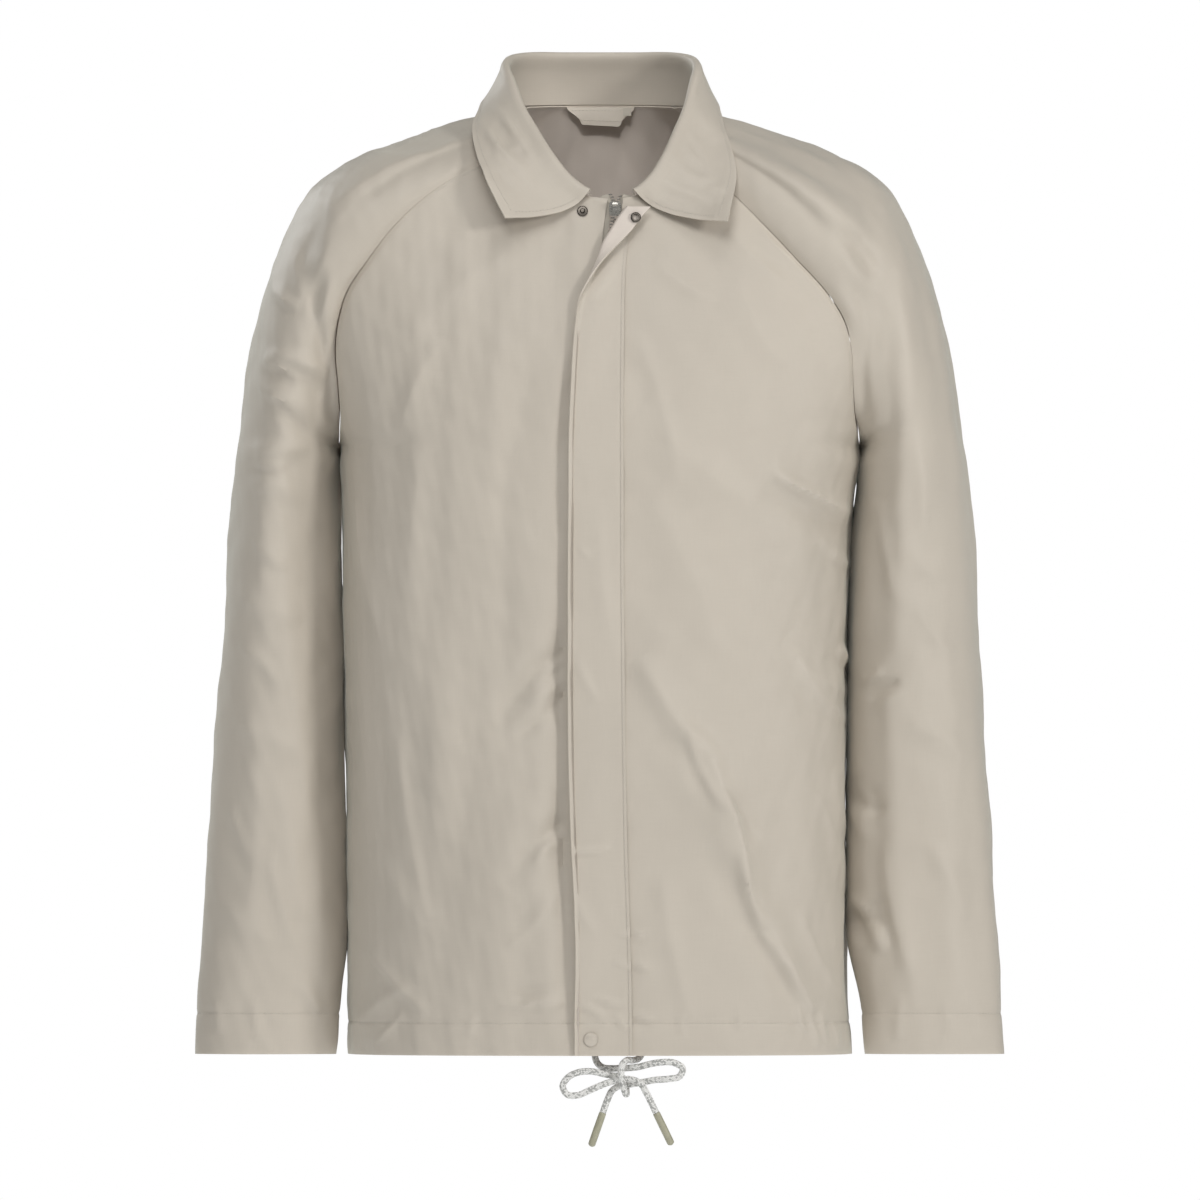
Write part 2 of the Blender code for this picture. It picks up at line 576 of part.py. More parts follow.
def collar_grid():
    """The collar's cloth as one sheet: up the stand, over the roll and down the leaf."""
    right = collar_lines(-1)
    left = collar_lines(1)
    neck, roll, leaf = (np.concatenate([a[::-1], b[1:]]) for a, b in zip(right, left))
    tangent = unit(np.gradient(roll, axis=0))

    def across(vector):
        return vector - tangent * np.sum(vector * tangent, axis=-1, keepdims=True)

    up = unit(across(unit(roll - neck) + unit(roll - leaf)))
    out = leaf - neck
    out = across(out)
    out = unit(out - up * np.sum(out * up, axis=-1, keepdims=True))
    stand = np.linalg.norm(roll - neck, axis=-1, keepdims=True)
    radius = np.clip(0.4 * stand, ROLL_RADIUS_LEAST, ROLL_RADIUS)
    centre = roll - up * radius
    ends = np.abs(np.linspace(-1.0, 1.0, len(neck)))[:, None] ** 6
    rise = 0.1 + COLLAR_END_RISE * ends
    neck = neck + unit(roll - neck) * COLLAR_SEAT + rise * np.array([0.0, 0.0, 1.0])
    inside = centre - out * radius
    outside = centre + out * radius
    rows = []
    for t in (0.0, 0.35, 0.7):
        bend = inside - up * 0.4 * stand
        rows.append((1 - t) ** 2 * neck + 2 * t * (1 - t) * bend + t ** 2 * inside)
    for angle in np.radians([180.0, 135.0, 90.0, 45.0]):
        rows.append(centre + radius * (out * math.cos(angle) + up * math.sin(angle)))
    fall = np.linalg.norm(leaf - outside, axis=-1, keepdims=True)
    for t in (0.0, 0.2, 0.45, 0.72, 1.0):
        bend = outside - up * 0.35 * fall
        rows.append((1 - t) ** 2 * outside + 2 * t * (1 - t) * bend + t ** 2 * leaf)
    return np.stack(rows)


def smooth_curve(points, old, new):
    """Read a curve through points at new places, bending smoothly between them."""
    points = np.asarray(points, dtype=float)
    slopes = np.gradient(points, old, axis=0)
    spot = np.clip(np.searchsorted(old, new, side="right") - 1, 0, len(old) - 2)
    width = (old[spot + 1] - old[spot])[:, None]
    t = (new[:, None] - old[spot][:, None]) / width
    return ((2 * t ** 3 - 3 * t ** 2 + 1) * points[spot] + (t ** 3 - 2 * t ** 2 + t) * width * slopes[spot]
            + (3 * t ** 2 - 2 * t ** 3) * points[spot + 1] + (t ** 3 - t ** 2) * width * slopes[spot + 1])


def rest_above(points, tree, clearance):
    """How far points have to move, outwards from the surface, to clear it."""
    moved = points.copy()
    for point, free in zip(moved.reshape(-1, 3), np.broadcast_to(clearance, points.shape[:-1]).ravel()):
        for _ in range(5):
            spot, normal, _, _ = tree.find_nearest(Vector(point))
            if normal.dot(spot - Vector(BODY_HEART)) < 0.0:
                normal = -normal
            short = free - (Vector(point) - spot).dot(normal)
            if short > 0.0:
                point += np.array(normal) * short
    return moved - points


def build_collar():
    """The collar's sheet with its wall, lifted clear of fronts, shoulders and back."""
    grid = collar_grid()
    normals = unit(np.cross(np.gradient(grid, axis=1), np.gradient(grid, axis=0)))
    if normals[-1, grid.shape[1] // 2, 1] < 0.0:
        normals = -normals
    shells = [front_grid(-1), front_grid(1), back_grid(), sleeve_grid(-1), sleeve_grid(1)]
    tree = surface_tree(shells)
    free = np.full(grid.shape[:2], COLLAR_STAND_OFF)
    free[:LEAF_ROW + 1] = CLOTH
    inward = -normals * CLOTH
    grid[ROLL_ROW:] += rest_above(grid + inward, tree, free)[ROLL_ROW:]
    grid[ROLL_ROW:] += rest_above(grid, tree, free)[ROLL_ROW:]
    add_wall("collar", grid, inward)


def surface_tree(grids):
    """A search tree over the outer faces of some grids."""
    points, faces = [], []
    for grid in grids:
        rows, columns = grid.shape[:2]
        index = np.arange(rows * columns).reshape(rows, columns) + len(points)
        points.extend(grid.reshape(-1, 3).tolist())
        quads = np.stack([index[:-1, :-1], index[:-1, 1:], index[1:, 1:], index[1:, :-1]], axis=-1)
        faces.extend(quads[..., [0, 1, 2]].reshape(-1, 3).tolist())
        faces.extend(quads[..., [0, 2, 3]].reshape(-1, 3).tolist())
    return BVHTree.FromPolygons(points, faces)


def front_surface(x, height):
    """Outer surface of the closed fronts at places of the front view."""
    x, height = np.broadcast_arrays(np.asarray(x, dtype=float), np.asarray(height, dtype=float))
    places = np.stack([x, np.full_like(x, -400.0), height], axis=-1)
    flat = places.reshape(-1, 3)
    for place in flat:
        hit = CLOSED_FRONTS.ray_cast(Vector(place), Vector((0.0, 1.0, 0.0)))[0]
        if hit is None:
            near = Vector((place[0], -100.0, place[2]))
            hit = CLOSED_FRONTS.find_nearest(near)[0]
        place[1] = hit.y
    return flat.reshape(places.shape)


CLOSED_FRONTS = surface_tree([front_grid(-1, clear=-1.0), front_grid(1, clear=-1.0)])


def placket_grid():
    """Outer points of the fly: flat on the left front, then its edge rolls up and over."""
    heights = np.concatenate([
        [HEM_HEIGHT, HEM_HEIGHT + HEM_DEPTH], np.linspace(-655.0, -215.0, 11),
        [-190.0, -168.0, -150.0, -134.0, -117.0, -106.0, -97.0, -88.0, -79.5],
    ])
    columns = {key: read(PLACKET, key, "height", heights) for key in PLACKET}
    flat = np.linspace(0.0, 1.0, 5)
    x = columns["stitch"][:, None] + (columns["fold"] - columns["stitch"])[:, None] * flat
    lift = CLOTH + PLACKET_SEAT + PLACKET_LIFT * smooth_step(flat)
    near = front_surface(x, heights[:, None] + 0.0 * x)
    near[..., 1] -= lift
    turn = np.radians(columns["turn"])[:, None] * np.linspace(0.25, 1.0, 4)
    radius = columns["radius"][:, None]
    edge = near[:, -1:]
    roll = edge + np.stack([-radius * np.sin(turn), -radius * (1.0 - np.cos(turn)), 0.0 * turn], axis=-1)
    last = turn[:, -1:]
    flap = columns["flap"][:, None] * np.array([0.5, 1.0])
    beyond = roll[:, -1:] + np.stack([-flap * np.cos(last), -flap * np.sin(last), 0.0 * flap], axis=-1)
    return np.concatenate([near, roll, beyond], axis=1)


def build_placket():
    grid = placket_grid()
    normals = unit(np.cross(np.gradient(grid, axis=1), np.gradient(grid, axis=0)))
    if normals[3, 1, 1] > 0.0:
        normals = -normals
    add_wall("fly_placket", grid, -normals * CLOTH)


def zip_line(heights, sideways, deeper):
    """Points along the zip, moved sideways from its middle and behind the fronts' outer surface."""
    x = read(ZIP, "middle", "height", heights) + sideways
    points = front_surface(x, heights)
    points[..., 1] += deeper
    return points


def strip(name, heights, left, right, front, depth, colour, **finish):
    """A flat band along the zip: two columns of points with a thickness behind them."""
    grid = np.stack([zip_line(heights, left, front), zip_line(heights, right, front)], axis=1)
    inward = np.zeros_like(grid)
    inward[..., 1] = depth
    return add_wall(name, grid, inward, colour, **finish)


def build_zip():
    """Tapes sewn behind the fronts, closed teeth, and the open teeth above the slider."""
    behind = HEM_CLOTH + GAP
    long_run = np.concatenate([[HEM_HEIGHT + 1.0], np.linspace(-680.0, -130.0, 16), [-108.0, -92.0, -77.0]])
    slider_foot = SLIDER_Z - SLIDER_HEIGHT / 2 - GAP
    closed_run = np.concatenate([[HEM_HEIGHT + 2.0], np.linspace(-680.0, -130.0, 16), [-108.0, slider_foot]])
    half = TEETH_WIDTH / 2
    strip("zip_tape_right", long_run, -half - GAP - TAPE_WIDTH, -half - GAP, behind, TAPE_CLOTH, "tape")
    strip("zip_tape_left", long_run, half + GAP, half + GAP + TAPE_WIDTH, behind, TAPE_CLOTH, "tape")
    strip("zip_teeth", closed_run, -half, half, behind - 0.6, TEETH_DEPTH, "nickel",
          metallic=1.0, roughness=0.35)


def lathe(name, profile, axis_point, direction, sides, colour, **finish):
    """Turn a profile of (radius, distance) pairs round an axis, closed by a point at each end."""
    direction = unit(np.asarray(direction, dtype=float))
    helper = np.array([0.0, 0.0, 1.0]) if abs(direction[2]) < 0.9 else np.array([1.0, 0.0, 0.0])
    across = unit(np.cross(direction, helper))
    other = np.cross(direction, across)
    turn = np.linspace(0.0, 2.0 * np.pi, sides, endpoint=False)
    ring = np.cos(turn)[:, None] * across + np.sin(turn)[:, None] * other
    points = [np.asarray(axis_point) + direction * profile[0][1]]
    for radius, distance in profile[1:-1]:
        points.extend(np.asarray(axis_point) + direction * distance + ring * radius)
    points.append(np.asarray(axis_point) + direction * profile[-1][1])
    faces = []
    rings = len(profile) - 2
    last = len(points) - 1
    for s in range(sides):
        after = (s + 1) % sides
        faces.append((0, 1 + after, 1 + s))
        for r in range(rings - 1):
            a, b = 1 + r * sides + s, 1 + r * sides + after
            c, d = b + sides, a + sides
            faces.append((a, b, c))
            faces.append((a, c, d))
        base = 1 + (rings - 1) * sides
        faces.append((last, base + s, base + after))
    if signed_volume(points, faces) < 0.0:
        faces = [f[::-1] for f in faces]
    return add_mesh(name, points, faces, colour, **finish)


def surface_direction(x, height):
    """Outward direction of the fronts at a place of the front view."""
    step = 2.0
    here = np.array([x, height], dtype=float)
    across = front_surface(here[0] + step, here[1]) - front_surface(here[0] - step, here[1])
    up = front_surface(here[0], here[1] + step) - front_surface(here[0], here[1] - step)
    normal = unit(np.cross(across, up))
    return -normal if normal[1] > 0 else normal


def build_snaps():
    """Stud of the top snap on the right front, its socket on the turned corner, and the hem's cap."""
    metal = {"metallic": 1.0, "roughness": 0.3}
    x, z = -13.2, -82.8
    outward = surface_direction(x, z)
    seat = front_surface(x, z) + outward * GAP
    profile = [(0, 0), (4.1, 0), (4.1, 0.8), (3.4, 1.3), (2.0, 1.4), (1.7, 2.6), (1.2, 3.0), (0, 3.0)]
    lathe("snap_stud_top", profile, seat, outward, 20, "dark_nickel", **metal)
    x, z = -7.0, -709.2
    share = (read(PLACKET, "stitch", "height", z) - x) / 40.0
    lift = CLOTH + PLACKET_SEAT + PLACKET_LIFT * smooth_step(share)
    seat = front_surface(x, z) + np.array([0.0, -lift - GAP, 0.0])
    profile = [(0, 0), (5.5, 0), (5.5, 0.8), (4.9, 1.5), (2.5, 1.8), (0, 1.85)]
    lathe("snap_cap_hem", profile, seat, (0.0, -1.0, 0.0), 24, "cloth", metallic=0.0, roughness=0.5)


def build_socket():
    """Socket of the top snap: a ring on the turned-back corner of the fly."""
    grid = placket_grid()
    row = -2
    outward = surface_direction(25.0, -89.0)
    seat = (grid[row, -1] + grid[row, -2]) / 2 + outward * (CLOTH + 3 * GAP)
    across = unit(np.cross(outward, np.array([0.0, 0.0, 1.0])))
    upward = np.cross(across, outward)
    turn = np.linspace(0.0, 2.0 * np.pi, 20, endpoint=False)[:, None]
    ring = np.cos(turn) * across + np.sin(turn) * upward
    rings = []
    for radius, out in ((3.9, 0.0), (3.9, 1.0), (3.2, 1.5), (2.3, 1.5), (2.3, 0.0)):
        rings.append(seat + outward * out + radius * ring)
    points = np.concatenate(rings)
    faces = []
    for r in range(5):
        for s in range(20):
            after = (s + 1) % 20
            a, b = r * 20 + s, r * 20 + after
            c, d = ((r + 1) % 5) * 20 + after, ((r + 1) % 5) * 20 + s
            faces.append((a, b, c))
            faces.append((a, c, d))
    if signed_volume(points, faces) < 0.0:
        faces = [f[::-1] for f in faces]
    add_mesh("snap_socket_top", points, faces, "dark_nickel", metallic=1.0, roughness=0.3)


def extrude_outline(outline, front, depth):
    """Points and faces of a flat outline of (x, z) pairs, extruded backwards in Y."""
    count = len(outline)
    points = [(x, front, z) for x, z in outline] + [(x, front + depth, z) for x, z in outline]
    faces = []
    for i in range(count):
        after = (i + 1) % count
        faces.append((i, after, count + after, count + i))
    faces.append(tuple(range(count))[::-1])
    faces.append(tuple(range(count, 2 * count)))
    return points, faces


def rounded_box(width, height, corner, steps=4):
    """Outline of a box with round corners, counter-clockwise, about nought."""
    outline = []
    for quarter, (cx, cz) in enumerate(((1, 1), (-1, 1), (-1, -1), (1, -1))):
        for step in range(steps + 1):
            turn = math.radians(90.0 * (quarter + step / steps))
            outline.append((cx * (width / 2 - corner) + corner * math.cos(turn),
                            cz * (height / 2 - corner) + corner * math.sin(turn)))
    return outline


def box_object(name, low, high, colour, **finish):
    (x0, y0, z0), (x1, y1, z1) = low, high
    points, faces = extrude_outline([(x0, z0), (x1, z0), (x1, z1), (x0, z1)], y0, y1 - y0)
    return add_mesh(name, points, faces, colour, **finish)


def join(target, others):
    """Unite solids that are one casting with the target."""
    for other in others:
        cut = target.modifiers.new("unite", "BOOLEAN")
        cut.operation = "UNION"
        cut.object = other
        other.hide_render = True
        other.display_type = "WIRE"


def build_slider():
    """Slider body with two ears and a pivot, and the pull tab that turns on it."""
    middle = read(ZIP, "middle", "height", SLIDER_Z)
    tape_face = zip_line(np.array([SLIDER_Z + SLIDER_HEIGHT / 2]), 0.0, HEM_CLOTH + GAP)[0, 1]
    tape_foot = zip_line(np.array([SLIDER_Z - SLIDER_HEIGHT / 2]), 0.0, HEM_CLOTH + GAP)[0, 1]
    front = min(tape_face, tape_foot) - GAP - SLIDER_DEPTH
    metal = {"metallic": 1.0, "roughness": 0.3}
    outline = [(middle + x, SLIDER_Z + z) for x, z in rounded_box(SLIDER_WIDTH, SLIDER_HEIGHT, 2.6)]
    points, faces = extrude_outline(outline, front, SLIDER_DEPTH)
    body = add_mesh("zip_slider", points, faces, "nickel", **metal)
    pivot_y = front - 1.9
    pivot_z = SLIDER_Z + 3.4
    reach = PULL_WIDTH / 2 + 0.35
    ears = []
    for sign in (-1, 1):
        inner, outer = middle + sign * reach, middle + sign * (reach + 0.9)
        low = (min(inner, outer), pivot_y - 1.0, pivot_z - 1.3)
        high = (max(inner, outer), front + 0.5, pivot_z + 1.3)
        ears.append(box_object(f"slider_ear{sign}", low, high, "nickel"))
    pin = round_bar("slider_pin", (middle - reach - 0.4, pivot_y, pivot_z), 2 * reach + 0.8, PIVOT_RADIUS)
    join(body, ears + [pin])

    hinge = bpy.data.objects.new("pull_hinge", None)
    bpy.context.scene.collection.objects.link(hinge)
    hinge.location = (middle * MM, pivot_y * MM, pivot_z * MM)
    points, faces = pull_tab(middle, pivot_y, pivot_z)
    add_mesh("zip_pull", points, faces, "nickel", parent=hinge, **metal)


def round_bar(name, start, length, radius, sides=10):
    """A bar along X."""
    turn = np.linspace(0.0, 2.0 * np.pi, sides, endpoint=False)
    ring = np.stack([0.0 * turn, radius * np.cos(turn), radius * np.sin(turn)], axis=-1)
    points = np.concatenate([ring + start, ring + np.add(start, (length, 0.0, 0.0))])
    faces = [(s, (s + 1) % sides, sides + (s + 1) % sides, sides + s) for s in range(sides)]
    faces += [tuple(range(sides))[::-1], tuple(range(sides, 2 * sides))]
    return add_mesh(name, points, faces, "nickel")


def pull_tab(middle, pivot_y, pivot_z):
    """The tab in its side view: a round eye with a hole for the pivot, and a flat bar below it."""
    hole = PIVOT_RADIUS + 0.35
    eye = hole + 0.65
    turn = np.radians(np.linspace(-66.0, 246.0, 17))
    outer = [(eye * math.cos(a), eye * math.sin(a)) for a in turn]
    foot = -PULL_LENGTH
    half = PULL_DEPTH / 2
    outer += [(-half, -eye), (-half, foot + 0.3), (half, foot + 0.3), (half, -eye)]
    count = len(outer)
    inner = [(hole * math.cos(a), hole * math.sin(a)) for a in turn]
    low = math.radians(-90.0)
    inner += [(hole * math.cos(low + d), hole * math.sin(low + d)) for d in (-0.3, -0.1, 0.1, 0.3)]
    left, right = middle - PULL_WIDTH / 2, middle + PULL_WIDTH / 2
    points = []
    for x in (left, right):
        for ring in (outer, inner):
            points += [(x, pivot_y + y, pivot_z + z) for y, z in ring]
    faces = []
    for i in range(count):
        after = (i + 1) % count
        a, b = i, after
        faces.append((a, b, count + b, count + a))
        faces.append((2 * count + b, 2 * count + a, 3 * count + a, 3 * count + b))
        faces.append((b, a, 2 * count + a, 2 * count + b))
        faces.append((count + a, count + b, 3 * count + b, 3 * count + a))
    triangles = [t for f in faces for t in ((f[0], f[1], f[2]), (f[0], f[2], f[3]))]
    if signed_volume(points, triangles) < 0.0:
        triangles = [t[::-1] for t in triangles]
    return points, triangles


def build_hanger():
    """Hanging loop: a flat band inside the back neck, under the neck seam."""
    half_top, half_low, height = 25.8, 15.5, 13.5
    share = np.linspace(-1.0, 1.0, 9)
    grid = np.zeros((3, 9, 3))
    for row, down in enumerate((0.0, 0.5, 1.0)):
        width = half_top + (half_low - half_top) * smooth_step(np.array(down))
        grid[row, :, 0] = 0.5 + width * share
        grid[row, :, 2] = -2.2 - height * down - 0.8 * down * share
        neck_y = NECK_CENTRE_Y + NECK_HALF_DEPTH * np.cos(np.arcsin(grid[row, :, 0] / NECK_HALF_WIDTH))
        grid[row, :, 1] = neck_y - 1.9 - 1.5 * down
    inward = np.zeros_like(grid)
    inward[..., 1] = CLOTH
    add_wall("hanger_loop", grid, inward)
    tab = np.zeros((2, 2, 3))
    for row, z in enumerate((-2.4, -8.2)):
        for column, x in enumerate((17.5, 23.8)):
            neck_y = NECK_CENTRE_Y + NECK_HALF_DEPTH * math.cos(math.asin(x / NECK_HALF_WIDTH))
            tab[row, column] = (x, neck_y - 3.3 - 0.112 * (-2.4 - z), z)
    inward = np.zeros_like(tab)
    inward[..., 1] = 1.0
    add_wall("size_tab_plain", tab, inward)


def cord_curve(route, spacing=10.0):
    """Even points on a smooth curve through the route."""
    route = np.asarray(route, dtype=float)
    chord = np.concatenate([[0.0], np.cumsum(np.linalg.norm(np.diff(route, axis=0), axis=1))])
    fine = smooth_curve(route, chord, np.linspace(0.0, chord[-1], 600))
    run = np.concatenate([[0.0], np.cumsum(np.linalg.norm(np.diff(fine, axis=0), axis=1))])
    count = int(round(run[-1] / spacing)) + 1
    even = np.linspace(0.0, run[-1], count)
    return np.stack([np.interp(even, run, fine[:, i]) for i in range(3)], axis=-1)


def build_cord(name, route, tip_name):
    """A round cord as a tube along its route, with a dipped tip on its end."""
    path = cord_curve(route, spacing=5.0)
    curve = bpy.data.curves.new(name, "CURVE")
    curve.dimensions = "3D"
    curve.bevel_depth = CORD_DIAMETER / 2 * MM
    curve.bevel_resolution = 2
    curve.use_fill_caps = True
    spline = curve.splines.new("POLY")
    spline.points.add(len(path) - 1)
    spline.points.foreach_set("co", np.column_stack([path * MM, np.ones(len(path))]).ravel())
    made = bpy.data.objects.new(name, curve)
    bpy.context.scene.collection.objects.link(made)
    curve.materials.append(material(f"cord.{name}", 0.0, 0.9))
    start = path[-1]
    direction = unit(start - path[-2])
    half = TIP_DIAMETER / 2
    length = TIP_LENGTH
    profile = [(0, GAP), (half * 0.94, GAP), (half, 2.0), (half, length - 3.0), (half * 0.8, length - 1.0),
               (half * 0.45, length - 0.2), (0, length)]
    lathe(tip_name, profile, start, direction, 12, "tip", metallic=0.0, roughness=0.45)


def main():
    clear_scene()
    build_shell()
    build_collar()
    build_placket()
    build_zip()
    build_slider()
    build_snaps()
    build_socket()
    build_hanger()
    build_cord("cord_right", CORD_RIGHT_ROUTE, "cord_tip_right")
    build_cord("cord_left", CORD_LEFT_ROUTE, "cord_tip_left")


main()
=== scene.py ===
import math

import bpy
import numpy as np
from bpy.props import FloatProperty, FloatVectorProperty, PointerProperty
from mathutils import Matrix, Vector
from mathutils.bvhtree import BVHTree


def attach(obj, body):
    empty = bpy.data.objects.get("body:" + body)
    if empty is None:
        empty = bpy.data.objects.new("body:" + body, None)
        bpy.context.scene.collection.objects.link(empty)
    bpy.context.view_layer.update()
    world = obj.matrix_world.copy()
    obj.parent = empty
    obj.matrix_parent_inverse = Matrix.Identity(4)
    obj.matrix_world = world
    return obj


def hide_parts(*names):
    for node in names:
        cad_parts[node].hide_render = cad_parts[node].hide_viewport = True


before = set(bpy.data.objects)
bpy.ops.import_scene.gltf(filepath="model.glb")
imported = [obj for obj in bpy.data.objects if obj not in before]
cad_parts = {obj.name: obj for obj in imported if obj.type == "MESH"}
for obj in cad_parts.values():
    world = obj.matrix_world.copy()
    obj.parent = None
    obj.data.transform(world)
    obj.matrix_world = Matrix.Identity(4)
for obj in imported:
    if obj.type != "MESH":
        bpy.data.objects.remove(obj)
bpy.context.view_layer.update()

bl_info = {
    "name": "Coach jacket",
    "version": (1, 0, 0),
    "blender": (4, 5, 0),
    "location": "3D View > Sidebar > Jacket",
    "description": "Dresses the packed solids of a coach jacket in creased cloth, sewing, trim and light",
    "category": "Object",
}

# Sizes are in millimetres until a mesh is made. The front faces -Y and the wearer's right is at -X.
MM = 0.001
BODY = "jacket"         # the body of the frame that everything but the pull tab rides on

HEM_HEIGHT = -721.6
HEM_DEPTH = 24.5        # the channel that the drawcord runs in
CUFF_DEPTH = 31.0
ROUNDNESS = 2.6         # power of the body's section, 2 would be an ellipse
NECK_HALF_WIDTH = 74.5
NECK_CENTRE_Y = -16.5
NECK_HALF_DEPTH = 81.5
FRONT_SHIFT = 11.0      # the zip meets the neck this far to the wearer's left
RAGLAN_FRONT = 125.0    # angles round the neck, from the back, where the sleeve's seams end
RAGLAN_BACK = 50.0
NECK_CREST = 85.0
ZIP_CLEAR = 6.1         # from the zip's middle to a front's edge
ZIP_DRIFT = 1.6         # the zip's middle lies this far from the neck ellipse's foremost point
FOLD_FADE = 0.7         # power of the cosine with which large folds die out toward the sides
WALL = 1.2              # of the solids
HEM_WALL = 2.3
PLACKET_SEAT = 0.8
PLACKET_LIFT = 2.6
SLIDER_Z = -80.6
SLIDER_HEIGHT = 11.4
LEAF_ROW = 7
ROLL_ROW = 5
COLLAR_SEAT = 0.3
COLLAR_END_RISE = 1.7
COLLAR_STAND_OFF = 3.4
ROLL_RADIUS = 3.4
ROLL_RADIUS_LEAST = 1.9
BODY_HEART = (0.0, 0.0, -200.0)


def table(columns, rows):
    """Columns as arrays by name."""
    return dict(zip(columns.split(), np.array(rows, dtype=float).T))


def read(source, column, key_column, key):
    """A column at a key, with straight lines between the rows."""
    order = np.argsort(source[key_column])
    return np.interp(key, source[key_column][order], source[column][order])


BODY_SIZES = table("height right left front back", [
    (-721.6, 191.5, 190.8, 141, 140),
    (-640.0, 191.7, 186.5, 141, 140),
    (-520.0, 193.5, 186.5, 140, 139),
    (-400.0, 195.5, 188.5, 140, 138),
    (-330.0, 196.5, 190.0, 141, 138),
    (-262.0, 198.0, 197.0, 140, 137),
    (-226.0, 209.0, 208.0, 138, 135),
    (-190.0, 222.0, 221.0, 133, 131),
    (-155.0, 231.0, 230.0, 124, 124),
    (-120.0, 240.0, 239.0, 111, 113),
])
ARMHOLE = table("height front_right front_left back_seam crest_x crest_z front back", [
    (-262.0, 90.0, 90.0, 90.0, 271.5, -236, 80, 80),
    (-254.0, 80.0, 79.0, 80.0, 269.5, -218, 83, 83),
    (-238.0, 72.0, 69.0, 72.0, 266.5, -195, 86, 85),
    (-214.0, 66.0, 61.5, 64.5, 261.0, -168, 88, 87),
    (-188.0, 61.0, 55.5, 57.0, 255.0, -144, 90, 88),
    (-164.0, 56.0, 49.5, 49.5, 247.0, -120, 91, 89),
    (-142.0, 50.0, 41.5, 43.0, 237.0, -96, 92, 90),
    (-120.0, 42.0, 33.0, 36.5, 225.0, -73, 93, 91),
])
SLEEVE = table("height outer inner_right inner_left middle front back", [
    (-721.6, 308.0, 200.2, 200.6, -16, 33, 33),
    (-690.3, 306.4, 197.8, 198.0, -15, 35, 35),
    (-630.0, 302.0, 195.5, 193.0, -11, 43, 43),
    (-560.0, 298.0, 196.0, 190.5, -6, 52, 52),
    (-490.0, 293.5, 197.0, 190.5, -2, 61, 60),
    (-420.0, 288.5, 198.5, 192.0, 0, 68, 67),
    (-360.0, 284.5, 199.3, 193.0, 1, 73, 72),
    (-315.0, 280.0, 200.2, 195.5, 1, 77, 76),
    (-285.0, 276.0, 200.8, 199.5, 0, 79, 79),
])
NECK = table("angle height", [
    (0, 0.0), (30, -0.3), (60, -1.5), (85, -5.5), (110, -21.0),
    (125, -36.0), (145, -56.0), (160, -68.0), (168, -71.4), (180, -73.5),
])
COLLAR = table("angle roll_x roll_y roll_z leaf_x leaf_y leaf_z left_leaf_x left_leaf_z", [
    (0, 0.0, 57.0, 40.0, 0.0, 96.0, -11.0, 0.0, -11.0),
    (25, 30.0, 53.0, 40.0, 37.0, 91.0, -10.0, 37.0, -10.0),
    (45, 51.0, 41.0, 40.0, 66.0, 75.0, -7.0, 66.0, -7.0),
    (65, 66.0, 19.0, 37.5, 86.0, 46.0, -1.0, 86.0, -1.0),
    (85, 70.5, -6.0, 31.0, 88.5, 12.0, 3.0, 88.5, 3.0),
    (105, 64.0, -31.0, 16.0, 92.5, -24.0, -4.0, 92.0, -6.0),
    (120, 57.0, -50.0, -2.0, 97.0, -56.0, -19.0, 95.5, -24.0),
    (135, 46.5, -68.0, -20.0, 94.0, -84.0, -37.0, 103.0, -49.0),
    (150, 33.5, -87.0, -40.5, 88.5, -103.0, -52.0, 102.0, -66.0),
    (160, 20.0, -95.5, -57.0, 83.0, -113.0, -66.0, 99.5, -76.0),
    (168, 7.0, -99.5, -65.8, 71.6, -124.0, -87.6, 96.4, -90.0),
])
COLLAR_STATIONS = np.array([
    0, 12, 25, 37, 48, 58, 67, 76, 85, 93, 101, 109, 117, 125, 133, 141, 149, 157, 163, 168,
], dtype=float)
PLACKET = table("height stitch fold turn radius flap", [
    (-721.6, 24.5, -15.5, 25, 7.0, 1.2),
    (-662.0, 23.8, -15.0, 25, 7.0, 1.2),
    (-560.0, 20.5, -17.0, 30, 7.0, 1.2),
    (-460.0, 19.0, -18.5, 30, 7.0, 1.2),
    (-346.0, 18.0, -20.5, 30, 7.0, 1.2),
    (-240.0, 17.8, -18.8, 30, 7.0, 1.2),
    (-197.0, 18.0, -17.0, 35, 6.0, 1.5),
    (-174.0, 18.2, -15.0, 40, 5.5, 1.5),
    (-150.0, 18.5, -10.5, 60, 4.5, 2.0),
    (-134.0, 19.0, -4.5, 95, 3.2, 3.0),
    (-117.0, 20.0, 1.6, 140, 2.0, 6.0),
    (-106.0, 21.5, 5.2, 170, 1.7, 11.0),
    (-97.0, 23.5, 10.4, 176, 1.6, 14.0),
    (-88.0, 27.0, 15.8, 178, 1.6, 15.0),
    (-79.5, 31.5, 22.4, 178, 1.6, 16.0),
])
ZIP = table("height middle", [
    (-721.6, 3.0), (-300.0, 3.0), (-150.0, 4.5), (-106.0, 7.5), (-88.0, 10.8), (-70.0, 12.2),
])
SLEEVE_FOLD = table("height right left depth", [
    (-262.0, 201.0, 199.0, 0.0),
    (-240.0, 200.5, 198.6, 6.0),
    (-205.0, 204.0, 198.2, 10.0),
    (-150.0, 212.0, 198.6, 12.0),
    (-110.0, 219.0, 198.8, 12.0),
    (-80.0, 225.0, 201.0, 9.0),
    (-60.0, 226.0, 210.0, 0.0),
])

